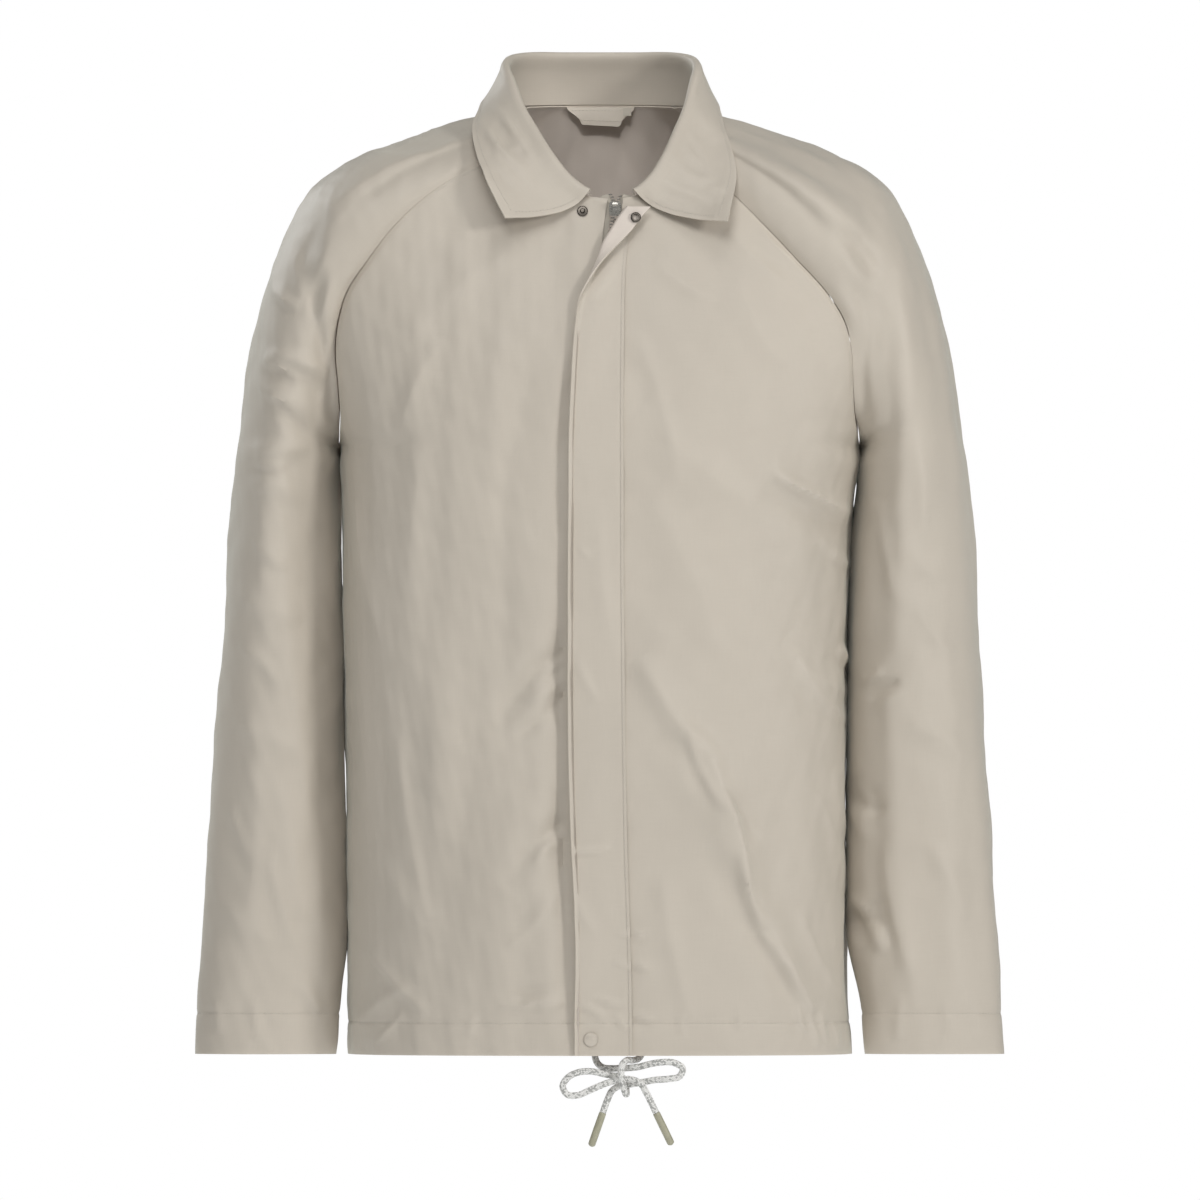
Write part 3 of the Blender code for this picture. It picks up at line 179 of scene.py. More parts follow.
# The fold of each sleeve behind the body's side, seen from the front: how far it reaches from the body
# and how deep it is pressed back
SIDE_FOLD = table("height right_reach right_depth left_reach left_depth", [
    (-700.0, 6, 0, 6, 0), (-640.0, 12, 4, 14, 5), (-620.0, 14, 6, 22, 13), (-600.0, 16, 7, 12, 5),
    (-560.0, 18, 9, 8, 2), (-530.0, 22, 11, 12, 10), (-500.0, 24, 12, 8, 2), (-440.0, 30, 13, 8, 2),
    (-400.0, 36, 15, 8, 2), (-330.0, 42, 17, 10, 3), (-280.0, 40, 15, 10, 3), (-240.0, 34, 10, 8, 2),
    (-200.0, 24, 4, 6, 0), (-160.0, 20, 0, 6, 0),
])

# Folds and creases, seen from the front: the ends of each, how far its middle bows to the left of its
# run, how far its crest stands out and its half width
CREASE_COLUMNS = "x0 z0 x1 z1 bow out width"
LARGE_FOLDS = table("x0 z0 x1 z1 out width", [
    (52.0, -452.0, 92.0, -541.0, 4.0, 17.0),
    (92.0, -541.0, 157.0, -683.0, 4.5, 17.0),
    (128.0, -276.0, 188.0, -312.0, 3.0, 17.0),
    (60.0, -380.0, 120.0, -560.0, -2.5, 24.0),
    (-140.0, -420.0, -60.0, -640.0, 2.5, 30.0),
    (-60.0, -300.0, -95.0, -560.0, -2.5, 26.0),
])
LARGE_BACK_FOLDS = table("x0 z0 x1 z1 out width", [
    (-130.0, -240.0, -60.0, -520.0, 3.0, 26.0),
    (135.0, -260.0, 50.0, -560.0, 3.5, 26.0),
    (-150.0, -440.0, -110.0, -690.0, -2.5, 24.0),
    (110.0, -470.0, 140.0, -700.0, 3.0, 22.0),
])
FRONT_CREASES = table(CREASE_COLUMNS, [
    # the hollow along the fly's free edge, deeper and wider in places
    (-20, -190, -29, -330, 3, -1.5, 6), (-27, -290, -30, -480, 0, -1.3, 6),
    (-30, -400, -30, -470, 1, -1.2, 10), (-30, -440, -29, -620, 0, -1.5, 7),
    (-29, -520, -27, -610, 1, -1.2, 11), (-27, -590, -25, -719, 0, -1.3, 6),
    # the long crease of the wearer's left front, down to the hem
    (30, -420, 82, -497, 3, 1.5, 8), (78, -486, 100, -548, -2, 1.6, 7), (97, -538, 124, -626, 4, 2.0, 8),
    (116, -608, 160, -688, -3, 2.0, 7), (106, -560, 146, -640, 5, 0.9, 8), (60, -470, 92, -500, -3, 0.8, 6),
    # under the arm and at the side
    (129, -276, 192, -311, 4, 1.4, 6), (118, -300, 186, -330, -5, -0.9, 10),
    (140, -408, 190, -448, 6, 0.9, 9), (182, -412, 190, -426, 0, 1.1, 4), (150, -250, 196, -275, 4, 0.7, 9),
    (176, -505, 190, -560, 3, 0.8, 6),
    # below the collar and along the raglan seam
    (96, -96, 150, -142, 4, 0.8, 9), (120, -100, 178, -150, -3, 0.8, 7), (104, -130, 140, -200, 6, 0.6, 10),
    (30, -230, 130, -310, 8, 0.9, 16), (36, -300, 92, -420, -6, 0.7, 14),
    # short puckers beside the fly and above the hem
    (24, -630, 35, -631, 0, 0.8, 2.6), (24, -651, 37, -656, 0, 0.9, 2.6), (24, -689, 41, -695, 1, 0.9, 2.6),
    (150, -683, 156, -705, 1, 0.8, 2.4), (158, -690, 163, -716, -1, 0.8, 2.4),
    (167, -688, 170, -712, 1, 0.7, 2.6), (176, -694, 180, -716, 0, 0.6, 2.4),
    (60, -690, 63, -708, 0, 0.4, 3), (104, -686, 108, -704, 0, 0.4, 3),
    # the wearer's right front
    (-24, -414, -78, -470, 5, -1.3, 9), (-22, -432, -60, -452, -3, 0.8, 6),
    (-22, -540, -72, -596, 5, -1.2, 9), (-22, -560, -58, -570, 2, 0.7, 5),
    (-24, -672, -78, -684, -4, 1.0, 4), (-38, -678, -64, -688, 2, 0.7, 3),
    (-140, -668, -190, -706, 5, 0.8, 5), (-150, -690, -168, -712, 0, 0.6, 3),
    (-96, -690, -99, -708, 0, 0.4, 3), (-128, -240, -140, -480, 10, 0.9, 14),
    (-96, -330, -104, -560, -8, -0.8, 12), (-60, -110, -150, -190, 8, 0.7, 16),
    (-168, -330, -150, -520, 6, 0.8, 12), (-44, -180, -76, -330, 6, -0.7, 12),
    (-172, -560, -120, -640, 4, 0.8, 9),
    # finer creases beside the large ones
    (66, -474, 96, -538, 4, 1.0, 3.2), (92, -520, 112, -596, -3, 1.1, 3.0),
    (104, -566, 128, -640, 3, 1.0, 3.4), (122, -628, 150, -676, -2, 1.2, 3.2),
    (140, -648, 162, -690, 2, 0.9, 2.8), (84, -512, 120, -560, -4, -0.8, 5.0),
    (131, -281, 160, -296, 2, 0.9, 3.4), (150, -292, 190, -318, -2, 0.8, 3.4),
    (168, -330, 190, -352, 2, 0.8, 4.0), (150, -420, 188, -470, 5, 0.8, 5.0),
    (164, -520, 186, -600, -4, 0.8, 5.0), (150, -610, 184, -680, 3, 0.8, 4.6),
    (-24, -420, -52, -442, 2, 0.9, 3.4), (-26, -446, -64, -482, -2, -0.9, 4.4),
    (-24, -548, -50, -578, 2, 0.9, 3.4), (-26, -590, -70, -640, -3, 0.7, 5.0),
    (-24, -680, -50, -688, 1, 0.9, 2.8), (-150, -470, -130, -620, 5, 0.8, 6.0),
    (-186, -300, -160, -420, 4, 0.8, 6.0), (-176, -640, -130, -690, 3, 0.9, 4.0),
    (-120, -180, -150, -250, 4, 0.7, 7.0), (40, -120, 88, -150, 3, 0.6, 6.0),
    (26, -170, 60, -290, -4, 0.6, 7.0), (46, -580, 70, -700, 3, 0.6, 6.0),
])
BACK_CREASES = table(CREASE_COLUMNS, [
    (-150, -210, -60, -330, 8, 1.2, 9), (150, -215, 50, -360, -8, 1.3, 9),
    (-178, -300, -96, -420, 6, 1.0, 7), (180, -310, 110, -450, -5, 0.9, 7),
    (-40, -380, -88, -560, 7, 0.9, 11), (30, -420, 84, -600, -6, 1.0, 10),
    (-120, -560, -150, -690, 4, 1.1, 6), (118, -590, 152, -700, -4, 1.1, 6),
    (-20, -150, -90, -200, 5, 0.7, 12), (16, -170, 96, -220, -5, 0.7, 12),
    (-60, -684, -64, -706, 0, 0.5, 3), (20, -688, 24, -710, 0, 0.5, 3), (90, -686, 92, -708, 0, 0.5, 3),
    (-130, -684, -128, -706, 0, 0.5, 3), (150, -250, 190, -268, 3, 0.8, 6),
    (-190, -262, -140, -276, -3, 0.8, 6), (0, -240, 10, -520, 9, -0.8, 16),
    (-184, -470, -140, -560, 5, 0.8, 8),
])
RIGHT_SLEEVE_CREASES = table(CREASE_COLUMNS, [
    (-252, -134, -228, -156, 2, 1.6, 4), (-254, -192, -206, -208, -5, 2.2, 5),
    (-250, -206, -210, -222, -3, -1.8, 7), (-272, -262, -218, -258, 3, 1.2, 6),
    (-268, -288, -224, -300, -3, 0.9, 7), (-240, -70, -214, -170, 5, 1.2, 7),
    (-262, -180, -240, -130, 3, 0.8, 6), (-288, -360, -226, -392, 5, 0.9, 8),
    (-286, -470, -216, -500, -5, 1.0, 8), (-252, -240, -250, -420, 5, 0.9, 10),
    (-262, -450, -268, -640, -5, 1.0, 10), (-240, -520, -222, -620, 3, 0.8, 8),
    (-228, -668, -212, -690, 0, 0.8, 4), (-262, -676, -260, -712, 0, 0.6, 4),
    (-290, -680, -288, -706, 0, 0.5, 4), (-170, -70, -214, -110, 5, 0.8, 9),
    (-292, -600, -240, -640, 4, 0.7, 8), (-250, -136, -236, -152, 2, 1.4, 2.6),
    (-256, -196, -228, -212, -3, 1.6, 3.2), (-262, -210, -232, -228, 3, 1.3, 3.2),
    (-246, -226, -220, -250, 2, -1.2, 4.0), (-270, -268, -236, -276, 2, 1.1, 3.4),
    (-262, -330, -236, -352, 3, 1.0, 4.0), (-276, -410, -240, -446, -4, 0.9, 5.0),
    (-250, -560, -232, -640, 3, 0.9, 5.0), (-282, -530, -256, -580, 3, 0.8, 5.0),
])
LEFT_SLEEVE_CREASES = table(CREASE_COLUMNS, [
    (203, -440, 216, -429, 1, 1.6, 3.5), (205, -452, 226, -438, -2, -1.6, 5),
    (196, -510, 214, -540, 3, -2.0, 6), (192, -516, 204, -560, 2, 1.5, 5),
    (194, -603, 206, -612, -1, 1.7, 3.5), (204, -608, 214, -644, -3, 1.9, 4),
    (210, -604, 222, -640, 3, -1.2, 7), (216, -70, 206, -250, 4, 1.0, 8),
    (224, -120, 226, -420, -5, 1.4, 8), (222, -440, 240, -690, 6, 1.0, 10),
    (250, -300, 262, -520, 5, -0.8, 12), (228, -330, 262, -362, 4, 0.9, 8),
    (236, -470, 280, -500, -4, 0.9, 8), (260, -560, 284, -700, 4, 0.8, 9), (150, -66, 206, -96, 4, 0.8, 9),
    (228, -676, 226, -712, 0, 0.6, 4), (262, -678, 266, -708, 0, 0.6, 4), (286, -684, 288, -712, 0, 0.5, 4),
    (198, -512, 208, -534, 2, 1.6, 2.6), (200, -606, 210, -640, -2, 1.5, 2.8),
    (206, -448, 222, -434, 1, 1.2, 2.6), (212, -300, 228, -380, 3, 1.0, 5.0),
    (236, -240, 246, -330, -3, 0.9, 5.0), (216, -560, 236, -660, 4, 0.9, 5.0),
    (250, -560, 276, -620, -3, 0.8, 5.0), (240, -380, 270, -420, 3, 0.8, 5.0),
    (226, -150, 232, -260, -3, 0.9, 5.0),
])
SLEEVE_BACK_CREASES = table(CREASE_COLUMNS, [
    (206, -250, 262, -286, 4, 1.3, 7), (214, -330, 276, -350, -4, 1.1, 7),
    (208, -400, 280, -436, 5, 1.5, 7), (212, -436, 272, -456, -4, 1.1, 6),
    (222, -520, 284, -548, 4, 1.0, 8), (252, -300, 262, -660, 5, 0.9, 12),
    (226, -560, 230, -700, -4, 0.9, 8), (236, -120, 220, -220, 5, 1.0, 8),
    (262, -680, 260, -712, 0, 0.5, 4),
])

# Drawcord: route points in the order in which the cord runs, out of the hem at each side of the zip
CORD_RIGHT_ROUTE = [
    (-4.0, -137.0, -708.5), (-4.0, -131.0, -709.3), (-4.0, -125.2, -713.6), (-4.0, -123.4, -720.0),
    (-2.6, -124.5, -726.2), (2.0, -128.0, -730.4), (8.5, -130.8, -731.2), (15.0, -132.0, -731.0),
    (22.0, -133.2, -730.8), (30.0, -135.0, -729.8), (38.0, -137.0, -727.8), (47.0, -138.5, -726.4),
    (56.5, -139.0, -727.0), (62.6, -139.0, -731.4), (60.5, -139.0, -736.8), (52.0, -138.5, -739.0),
    (42.0, -137.0, -739.8), (33.0, -135.0, -741.4), (24.0, -133.0, -743.0), (15.0, -132.2, -744.2),
    (9.2, -133.0, -748.0), (5.6, -134.5, -755.0), (2.2, -135.0, -764.5),
]
CORD_LEFT_ROUTE = [
    (33.5, -137.4, -707.0), (33.5, -131.0, -707.6), (33.3, -125.2, -711.6), (32.6, -123.4, -717.6),
    (29.8, -125.4, -723.2), (25.2, -131.4, -725.0), (20.4, -138.0, -725.0), (16.8, -143.6, -728.4),
    (16.0, -145.6, -736.0), (17.6, -144.4, -744.6), (19.4, -138.6, -750.2), (20.0, -130.8, -749.6),
    (19.2, -126.2, -743.4), (16.4, -126.2, -737.6), (11.0, -131.0, -736.8), (4.0, -137.6, -735.6),
    (-6.0, -140.5, -733.4), (-16.0, -140.5, -734.0), (-24.5, -140.5, -738.2), (-28.2, -140.5, -744.6),
    (-25.0, -140.5, -750.6), (-17.0, -140.5, -751.4), (-9.0, -140.5, -748.2), (-1.0, -140.5, -744.6),
    (7.0, -140.4, -741.6), (16.0, -139.6, -739.4), (24.5, -140.6, -739.6), (30.8, -143.4, -742.6),
    (35.0, -144.4, -749.4), (39.0, -144.0, -757.5), (42.4, -143.2, -764.5),
]


def unit(vectors):
    """Vectors brought to length one."""
    return vectors / np.maximum(np.linalg.norm(vectors, axis=-1, keepdims=True), 1e-9)


def smooth_step(value):
    """The S-shaped step from 0 to 1: 3 v^2 - 2 v^3, level outside."""
    value = np.clip(value, 0.0, 1.0)
    return value * value * (3.0 - 2.0 * value)


def smooth_curve(points, old, new):
    """Points read at new places: between two old ones a cubic that keeps both their slopes."""
    points = np.asarray(points, dtype=float)
    slopes = np.gradient(points, old, axis=0)
    spot = np.clip(np.searchsorted(old, new, side="right") - 1, 0, len(old) - 2)
    shape = (-1,) + (1,) * (points.ndim - 1)
    width = (old[spot + 1] - old[spot]).reshape(shape)
    t = (new - old[spot]).reshape(shape) / width
    return ((2 * t ** 3 - 3 * t ** 2 + 1) * points[spot] + (t ** 3 - 2 * t ** 2 + t) * width * slopes[spot]
            + (3 * t ** 2 - 2 * t ** 3) * points[spot + 1] + (t ** 3 - t ** 2) * width * slopes[spot + 1])


def body_size(choice, first, second, height):
    """The body's size at a height: the first column where the choice holds, else the second."""
    sizes = [read(BODY_SIZES, column, "height", height) for column in (first, second)]
    return np.where(choice, *sizes)


def body_point(angle, height):
    """Section of the body, by the angle in degrees from the front.

    x is w sin^p and y is -d cos^p, with p = 2 / ROUNDNESS.
    """
    angle = np.radians(angle)
    side, ahead = np.sin(angle), np.cos(angle)
    width = body_size(side < 0, "right", "left", height)
    depth = body_size(ahead > 0, "front", "back", height)
    x = width * np.sign(side) * np.abs(side) ** (2.0 / ROUNDNESS)
    y = -depth * np.sign(ahead) * np.abs(ahead) ** (2.0 / ROUNDNESS)
    return np.stack(np.broadcast_arrays(x, y, height), axis=-1)


def body_angle(x, height):
    """The angle at which the front of the section has this x."""
    width = body_size(x < 0, "right", "left", height)
    return np.degrees(np.sign(x) * np.arcsin((np.abs(x) / width) ** (ROUNDNESS / 2.0)))


def folds(places, x, z):
    """Sum of bells across each fold, faded past its ends."""
    total = np.zeros_like(x)
    for x0, z0, x1, z1, out, width in zip(*places.values()):
        run = np.array([x1 - x0, z1 - z0])
        length = np.hypot(*run)
        along = ((x - x0) * run[0] + (z - z0) * run[1]) / length ** 2
        across = ((x - x0) * run[1] - (z - z0) * run[0]) / length
        fade = np.exp(-np.maximum(np.abs(along - 0.5) - 0.5, 0.0) ** 2 * (length / width) ** 2)
        total += out * np.exp(-(across / width) ** 2) * fade
    return total


def creases(places, x, z):
    """Sum over the creases: a sharp crest along a bowed run, with a shallow trough on its lower side.

    Across the run the crest is exp(-|s|^1.5), s in half widths, and along it the height grows and
    dies with the square root of a parabola.
    """
    total = np.zeros_like(x)
    for x0, z0, x1, z1, bow, out, width in zip(*places.values()):
        run = np.array([x1 - x0, z1 - z0])
        length = np.hypot(*run)
        along = ((x - x0) * run[0] + (z - z0) * run[1]) / length ** 2
        hump = np.clip(4.0 * along * (1.0 - along), 0.0, 1.0)
        across = (((x - x0) * run[1] - (z - z0) * run[0]) / length - bow * hump) / width
        crest = np.exp(-np.abs(across) ** 1.5) - 0.32 * np.exp(-((across - 2.0) / 1.5) ** 2)
        total += out * crest * hump ** 0.6
    return total


def drift(points, size, seed):
    """Slow unevenness of the cloth: a sum of twelve sine waves in seeded directions, about -1 to 1."""
    rng = np.random.default_rng(seed)
    waves = rng.normal(0.0, 1.0, (12, 3)) * np.array([1.0, 0.7, 0.5]) * 2.0 * np.pi / size
    starts = rng.uniform(0.0, 2.0 * np.pi, 12)
    return np.sin(points @ waves.T + starts).sum(axis=-1) / 4.0


def neck_point(angle, side):
    """The neck seam, by the angle from the back: a slanted ellipse that drifts to the zip."""
    turn = np.radians(angle)
    x = side * NECK_HALF_WIDTH * np.sin(turn) + FRONT_SHIFT * (angle / 180.0) ** 3
    y = NECK_CENTRE_Y + NECK_HALF_DEPTH * np.cos(turn)
    return np.stack(np.broadcast_arrays(x, y, read(NECK, "height", "angle", angle)), axis=-1)


ARMHOLE_ROWS = len(ARMHOLE["height"])
YOKE_STEPS = np.linspace(0.0, 1.0, 6)[1:]
YOKE_REACH = 0.55       # how far a panel keeps its direction above the armhole, as a share of the way on
CREST_REACH = 0.25      # the same at the sleeve's crest, where the shoulder slopes almost straight
YOKE_RUN = 150.0        # about how long the rows' run from armhole to neck is
BODY_ROWS = np.concatenate([[HEM_HEIGHT, HEM_HEIGHT + HEM_DEPTH], np.linspace(-655.0, -300.0, 10)])
UPPER_PLACES = np.concatenate([ARMHOLE["height"], ARMHOLE["height"][-1] + YOKE_STEPS * YOKE_RUN])
BODY_PLACES = np.concatenate([BODY_ROWS, UPPER_PLACES])
SLEEVE_PLACES = np.concatenate([SLEEVE["height"], UPPER_PLACES])


def raise_to_neck(last, before, neck, reach=YOKE_REACH):
    """A quadratic curve that leaves the last row in its own direction and ends on the neck seam."""
    reach = np.linalg.norm(neck - last, axis=-1, keepdims=True) * reach
    middle = last + unit(last - before) * reach
    t = YOKE_STEPS[:, None, None]
    return (1 - t) ** 2 * last + 2 * t * (1 - t) * middle + t ** 2 * neck


def raglan_seam(side, which):
    """The seam between sleeve and front or back, from underarm to neck."""
    front = ARMHOLE["front_right" if side < 0 else "front_left"]
    turned = side * (front if which == "front" else 180.0 - ARMHOLE["back_seam"])
    low = body_point(turned, ARMHOLE["height"])[:, None, :]
    end = RAGLAN_FRONT if which == "front" else RAGLAN_BACK
    return np.concatenate([low, raise_to_neck(low[-1], low[-2], neck_point(np.array([end]), side))])[:, 0]


def front_grid(side, clear=ZIP_CLEAR, columns=13):
    """Outer points of one front, columns from the zip to the side, rows from hem to neck."""
    share = np.linspace(0.0, 1.0, columns)
    heights = np.concatenate([BODY_ROWS, ARMHOLE["height"]])
    edges = read(ZIP, "middle", "height", heights) + side * clear
    start = body_angle(edges, heights)
    seam = ARMHOLE["front_right" if side < 0 else "front_left"]
    limit = side * np.concatenate([np.full(len(BODY_ROWS), 90.0), seam])
    angles = start[:, None] + (limit - start)[:, None] * share
    low = body_point(angles, heights[:, None] + 0.0 * angles)
    ahead = np.clip(np.cos(np.radians(angles)), 0, 1)
    low[..., 1] -= folds(LARGE_FOLDS, low[..., 0], low[..., 2]) * ahead ** FOLD_FADE
    low[len(BODY_ROWS):, -1] = raglan_seam(side, "front")[:ARMHOLE_ROWS]
    first = 180.0 - math.degrees(math.asin((clear + side * ZIP_DRIFT) / NECK_HALF_WIDTH))
    high = raise_to_neck(low[-1], low[-2], neck_point(first + (RAGLAN_FRONT - first) * share, side))
    high[:, -1] = raglan_seam(side, "front")[ARMHOLE_ROWS:]
    return np.concatenate([low, high])


def back_grid(columns=25):
    """Outer points of the back, columns from the wearer's right to the left."""
    share = np.linspace(-1.0, 1.0, columns)
    heights = np.concatenate([BODY_ROWS, ARMHOLE["height"]])
    turned = np.concatenate([np.full(len(BODY_ROWS), 90.0), ARMHOLE["back_seam"]])[:, None] * share
    angles = np.where(turned < 0, -180.0 - turned, 180.0 - turned)
    low = body_point(angles, heights[:, None] + 0.0 * angles)
    behind = np.cos(np.radians(turned))
    low[..., 1] += folds(LARGE_BACK_FOLDS, low[..., 0], low[..., 2]) * behind ** FOLD_FADE
    for column, side in ((0, -1), (-1, 1)):
        low[len(BODY_ROWS):, column] = raglan_seam(side, "back")[:ARMHOLE_ROWS]
    neck = neck_point(RAGLAN_BACK * np.abs(share), np.where(share < 0, -1.0, 1.0))
    high = raise_to_neck(low[-1], low[-2], neck)
    for column, side in ((0, -1), (-1, 1)):
        high[:, column] = raglan_seam(side, "back")[ARMHOLE_ROWS:]
    return np.concatenate([low, high])


def sleeve_half(sign, crest, seam, depth, steps):
    """Half a section from crest to seam, as an arc.

    The share of the way is (1 - cos t) / (1 - cos last), and the depth in Y goes with sin t.
    """
    last = np.pi - np.arcsin(np.clip(np.abs(crest[:, 1] - seam[:, 1]) / depth, 0.0, 1.0))
    turn = last[:, None] * steps
    share = (1.0 - np.cos(turn)) / (1.0 - np.cos(last))[:, None]
    points = crest[:, None, :] + (seam - crest)[:, None, :] * share[..., None]
    points[..., 1] = crest[:, None, 1] + sign * depth[:, None] * np.sin(turn)
    return points


def sleeve_grid(side, half_columns=12):
    """Outer points of a sleeve, rows from cuff to neck, columns from the front seam over the crest.

    Below the underarm a row runs all round. Above it the row is open between the raglan seams.
    """
    lower = SLEEVE["height"]
    inner = side * SLEEVE["inner_right" if side < 0 else "inner_left"]
    crest = np.stack([side * SLEEVE["outer"], SLEEVE["middle"], lower], axis=-1)
    seam = np.stack([inner, SLEEVE["middle"], lower], axis=-1)
    crest[:, 2] += smooth_step((lower + 420.0) / 160.0) * 22.0
    above = np.stack([side * ARMHOLE["crest_x"], 0.0 * ARMHOLE["crest_x"], ARMHOLE["crest_z"]], axis=-1)
    crests = np.concatenate([crest, above])
    steps = np.linspace(0.0, 1.0, half_columns + 1)
    halves = []
    for which, sign, neck_end in (("front", -1.0, RAGLAN_FRONT), ("back", 1.0, RAGLAN_BACK)):
        raglan = raglan_seam(side, which)
        seams = np.concatenate([seam, raglan[:ARMHOLE_ROWS]])
        seams[len(lower), 1] = 0.0
        depth = np.concatenate([SLEEVE[which], ARMHOLE[which]])
        depth[len(lower):] = np.maximum(depth[len(lower):], 1.06 * np.abs(raglan[:ARMHOLE_ROWS, 1]))
        neck = neck_point(NECK_CREST + (neck_end - NECK_CREST) * steps, side)
        halves.append((sleeve_half(sign, crests, seams, depth, steps), neck, raglan))
    grid = np.concatenate([halves[0][0][:, ::-1], halves[1][0][:, 1:]], axis=1)
    front = grid[:, 1:half_columns]
    place = read(SLEEVE_FOLD, "right" if side < 0 else "left", "height", front[..., 2])
    beyond = np.abs(front[..., 0]) - place
    depth = read(SLEEVE_FOLD, "depth", "height", front[..., 2]) * smooth_step((front[..., 2] + 262.0) / 20.0)
    front[..., 1] += depth * smooth_step(beyond / 8.0 + 0.5) * np.exp(-np.maximum(beyond, 0.0) / 22.0)
    neck = np.concatenate([halves[0][1][::-1], halves[1][1][1:]])
    spread = np.concatenate([steps[::-1], steps[1:]])[:, None] ** 2
    high = raise_to_neck(grid[-1], grid[-2], neck, CREST_REACH + (YOKE_REACH - CREST_REACH) * spread)
    for column, (_, _, raglan) in ((0, halves[0]), (-1, halves[1])):
        high[:, column] = raglan[ARMHOLE_ROWS:]
    return np.concatenate([grid, high])


def surface_tree(grids):
    """A search tree over the outer faces of some grids."""
    points, faces = [], []
    for grid in grids:
        rows, columns = grid.shape[:2]
        index = np.arange(rows * columns).reshape(rows, columns) + len(points)
        points.extend(grid.reshape(-1, 3).tolist())
        quads = np.stack([index[:-1, :-1], index[:-1, 1:], index[1:, 1:], index[1:, :-1]], axis=-1)
        faces.extend(quads[..., [0, 1, 2]].reshape(-1, 3).tolist())
        faces.extend(quads[..., [0, 2, 3]].reshape(-1, 3).tolist())
    return BVHTree.FromPolygons(points, faces)


def refine(grid, old_rows, rows, columns):
    """A grid of points read at finer rows and at a finer even spread of columns, smoothly both ways."""
    tall = smooth_curve(grid, np.asarray(old_rows, dtype=float), rows)
    across = np.arange(grid.shape[1], dtype=float)
    wide = smooth_curve(tall.transpose(1, 0, 2), across, np.linspace(0.0, across[-1], columns))
    return wide.transpose(1, 0, 2)


def normals_of(grid, wrap=False):
    """Unit normals of a grid, from the differences of its neighbours, all round where it wraps."""
    if wrap:
        ring = np.concatenate([grid[:, -2:-1], grid, grid[:, 1:2]], axis=1)
        along = np.gradient(ring, axis=1)[:, 1:-1]
    else:
        along = np.gradient(grid, axis=1)
    return unit(np.cross(along, np.gradient(grid, axis=0)))


def outward(grid, normals, heart):
    """The same normals, turned to point away from the heart, or from each row's own, as a whole."""
    away = np.einsum("rci,rci->rc", normals, grid - np.asarray(heart, dtype=float)).sum()
    return normals if away > 0.0 else -normals


def edge_distance(grid, column):
    """Distance of each point to its row's edge point."""
    return np.linalg.norm(grid - grid[:, column][:, None], axis=-1)


def groove(distance, depth, width):
    """A seam pulled in: -depth exp(-(distance / width)^2)."""
    return -depth * np.exp(-(distance / width) ** 2)


# Settings that a user would change

def colour_setting(name, description, default):
    """A colour that the user can set."""
    return FloatVectorProperty(name=name, description=description, subtype="COLOR", size=3, default=default)


class JacketCloth(bpy.types.PropertyGroup):
    """Sizes and colours of the cloth and its sewing."""

    wall: FloatProperty(name="Cloth wall", description="Thickness of a panel as shown",
                        default=0.0009, unit="LENGTH")
    crease: FloatProperty(name="Crease strength", description="Times its table's height that a crease has",
                          default=2.8)
    grid: FloatProperty(name="Grid step", description="About how far apart a panel's points are",
                        default=0.0032, unit="LENGTH")
    stitch: FloatProperty(name="Stitch length", description="From one stitch to the next",
                          default=0.0029, unit="LENGTH")
    thread: FloatProperty(name="Thread", description="Width of the sewing thread", default=0.00055,
                          unit="LENGTH")
    colour: colour_setting("Cloth colour", "Nylon cloth, outside", (0.510, 0.458, 0.388))
    # The inner face's colour is lighter than the outside's. Partly that is a whiter coated face, and mostly
    # it is painted light for the shaded inside of the neck.
    inside_colour_painted_lighter: colour_setting("Inside colour", "The same cloth's inner face", (0.640, 0.570, 0.505))
    thread_colour: colour_setting("Thread colour", "Sewing thread", (0.560, 0.515, 0.450))


class JacketTrim(bpy.types.PropertyGroup):
    """Sizes and colours of the drawcord, zip and snaps."""

    cord: FloatProperty(name="Cord diameter", description="Drawcord", default=0.005, unit="LENGTH")
    tip: FloatProperty(name="Tip length", description="Dipped end of the drawcord", default=0.027,
                       unit="LENGTH")
    teeth_pitch: FloatProperty(name="Teeth pitch", description="From one tooth to the next on the same tape",
                               default=0.0025, unit="LENGTH")
    cord_light: colour_setting("Cord, light yarn", "Main yarn", (0.80, 0.79, 0.76))
    cord_dark: colour_setting("Cord, dark yarn", "Flecks", (0.40, 0.40, 0.38))
    tip_colour: colour_setting("Tip colour", "Dipped ends", (0.355, 0.340, 0.245))
    nickel: colour_setting("Zip metal", "Teeth, slider and pull", (0.66, 0.63, 0.57))
    dark_nickel: colour_setting("Snap metal", "Stud and socket", (0.10, 0.088, 0.075))


class JacketStage(bpy.types.PropertyGroup):
    """Camera, floor and light."""

    distance: FloatProperty(name="Camera distance", description="From the jacket's middle", default=26.0,
                            unit="LENGTH")
    framed: FloatProperty(name="Framed width", description="Width of the view at the jacket", default=0.912,
                          unit="LENGTH")
    height: FloatProperty(name="View height", description="Height of the view's middle", default=-0.377,
                          unit="LENGTH")
    floor: FloatProperty(name="Floor height", description="Height of the floor", default=-1.35, unit="LENGTH")
    key: FloatProperty(name="Key light", description="Soft light from the viewer's right", default=64.0,
                       unit="POWER")
    fill: FloatProperty(name="Fill light", description="Wide light from the front", default=58.0,
                        unit="POWER")
    top: FloatProperty(name="Top light", description="Soft light on the shoulders", default=26.0,
                       unit="POWER")
    neck: FloatProperty(name="Neck light", description="Narrow light into the neck opening", default=58.0,
                        unit="POWER")
    sky: FloatProperty(name="Surroundings", description="Strength of the white all round", default=0.20)


# Meshes

CLOTH_SHARP = 50        # degrees past which an edge of the cloth stays sharp


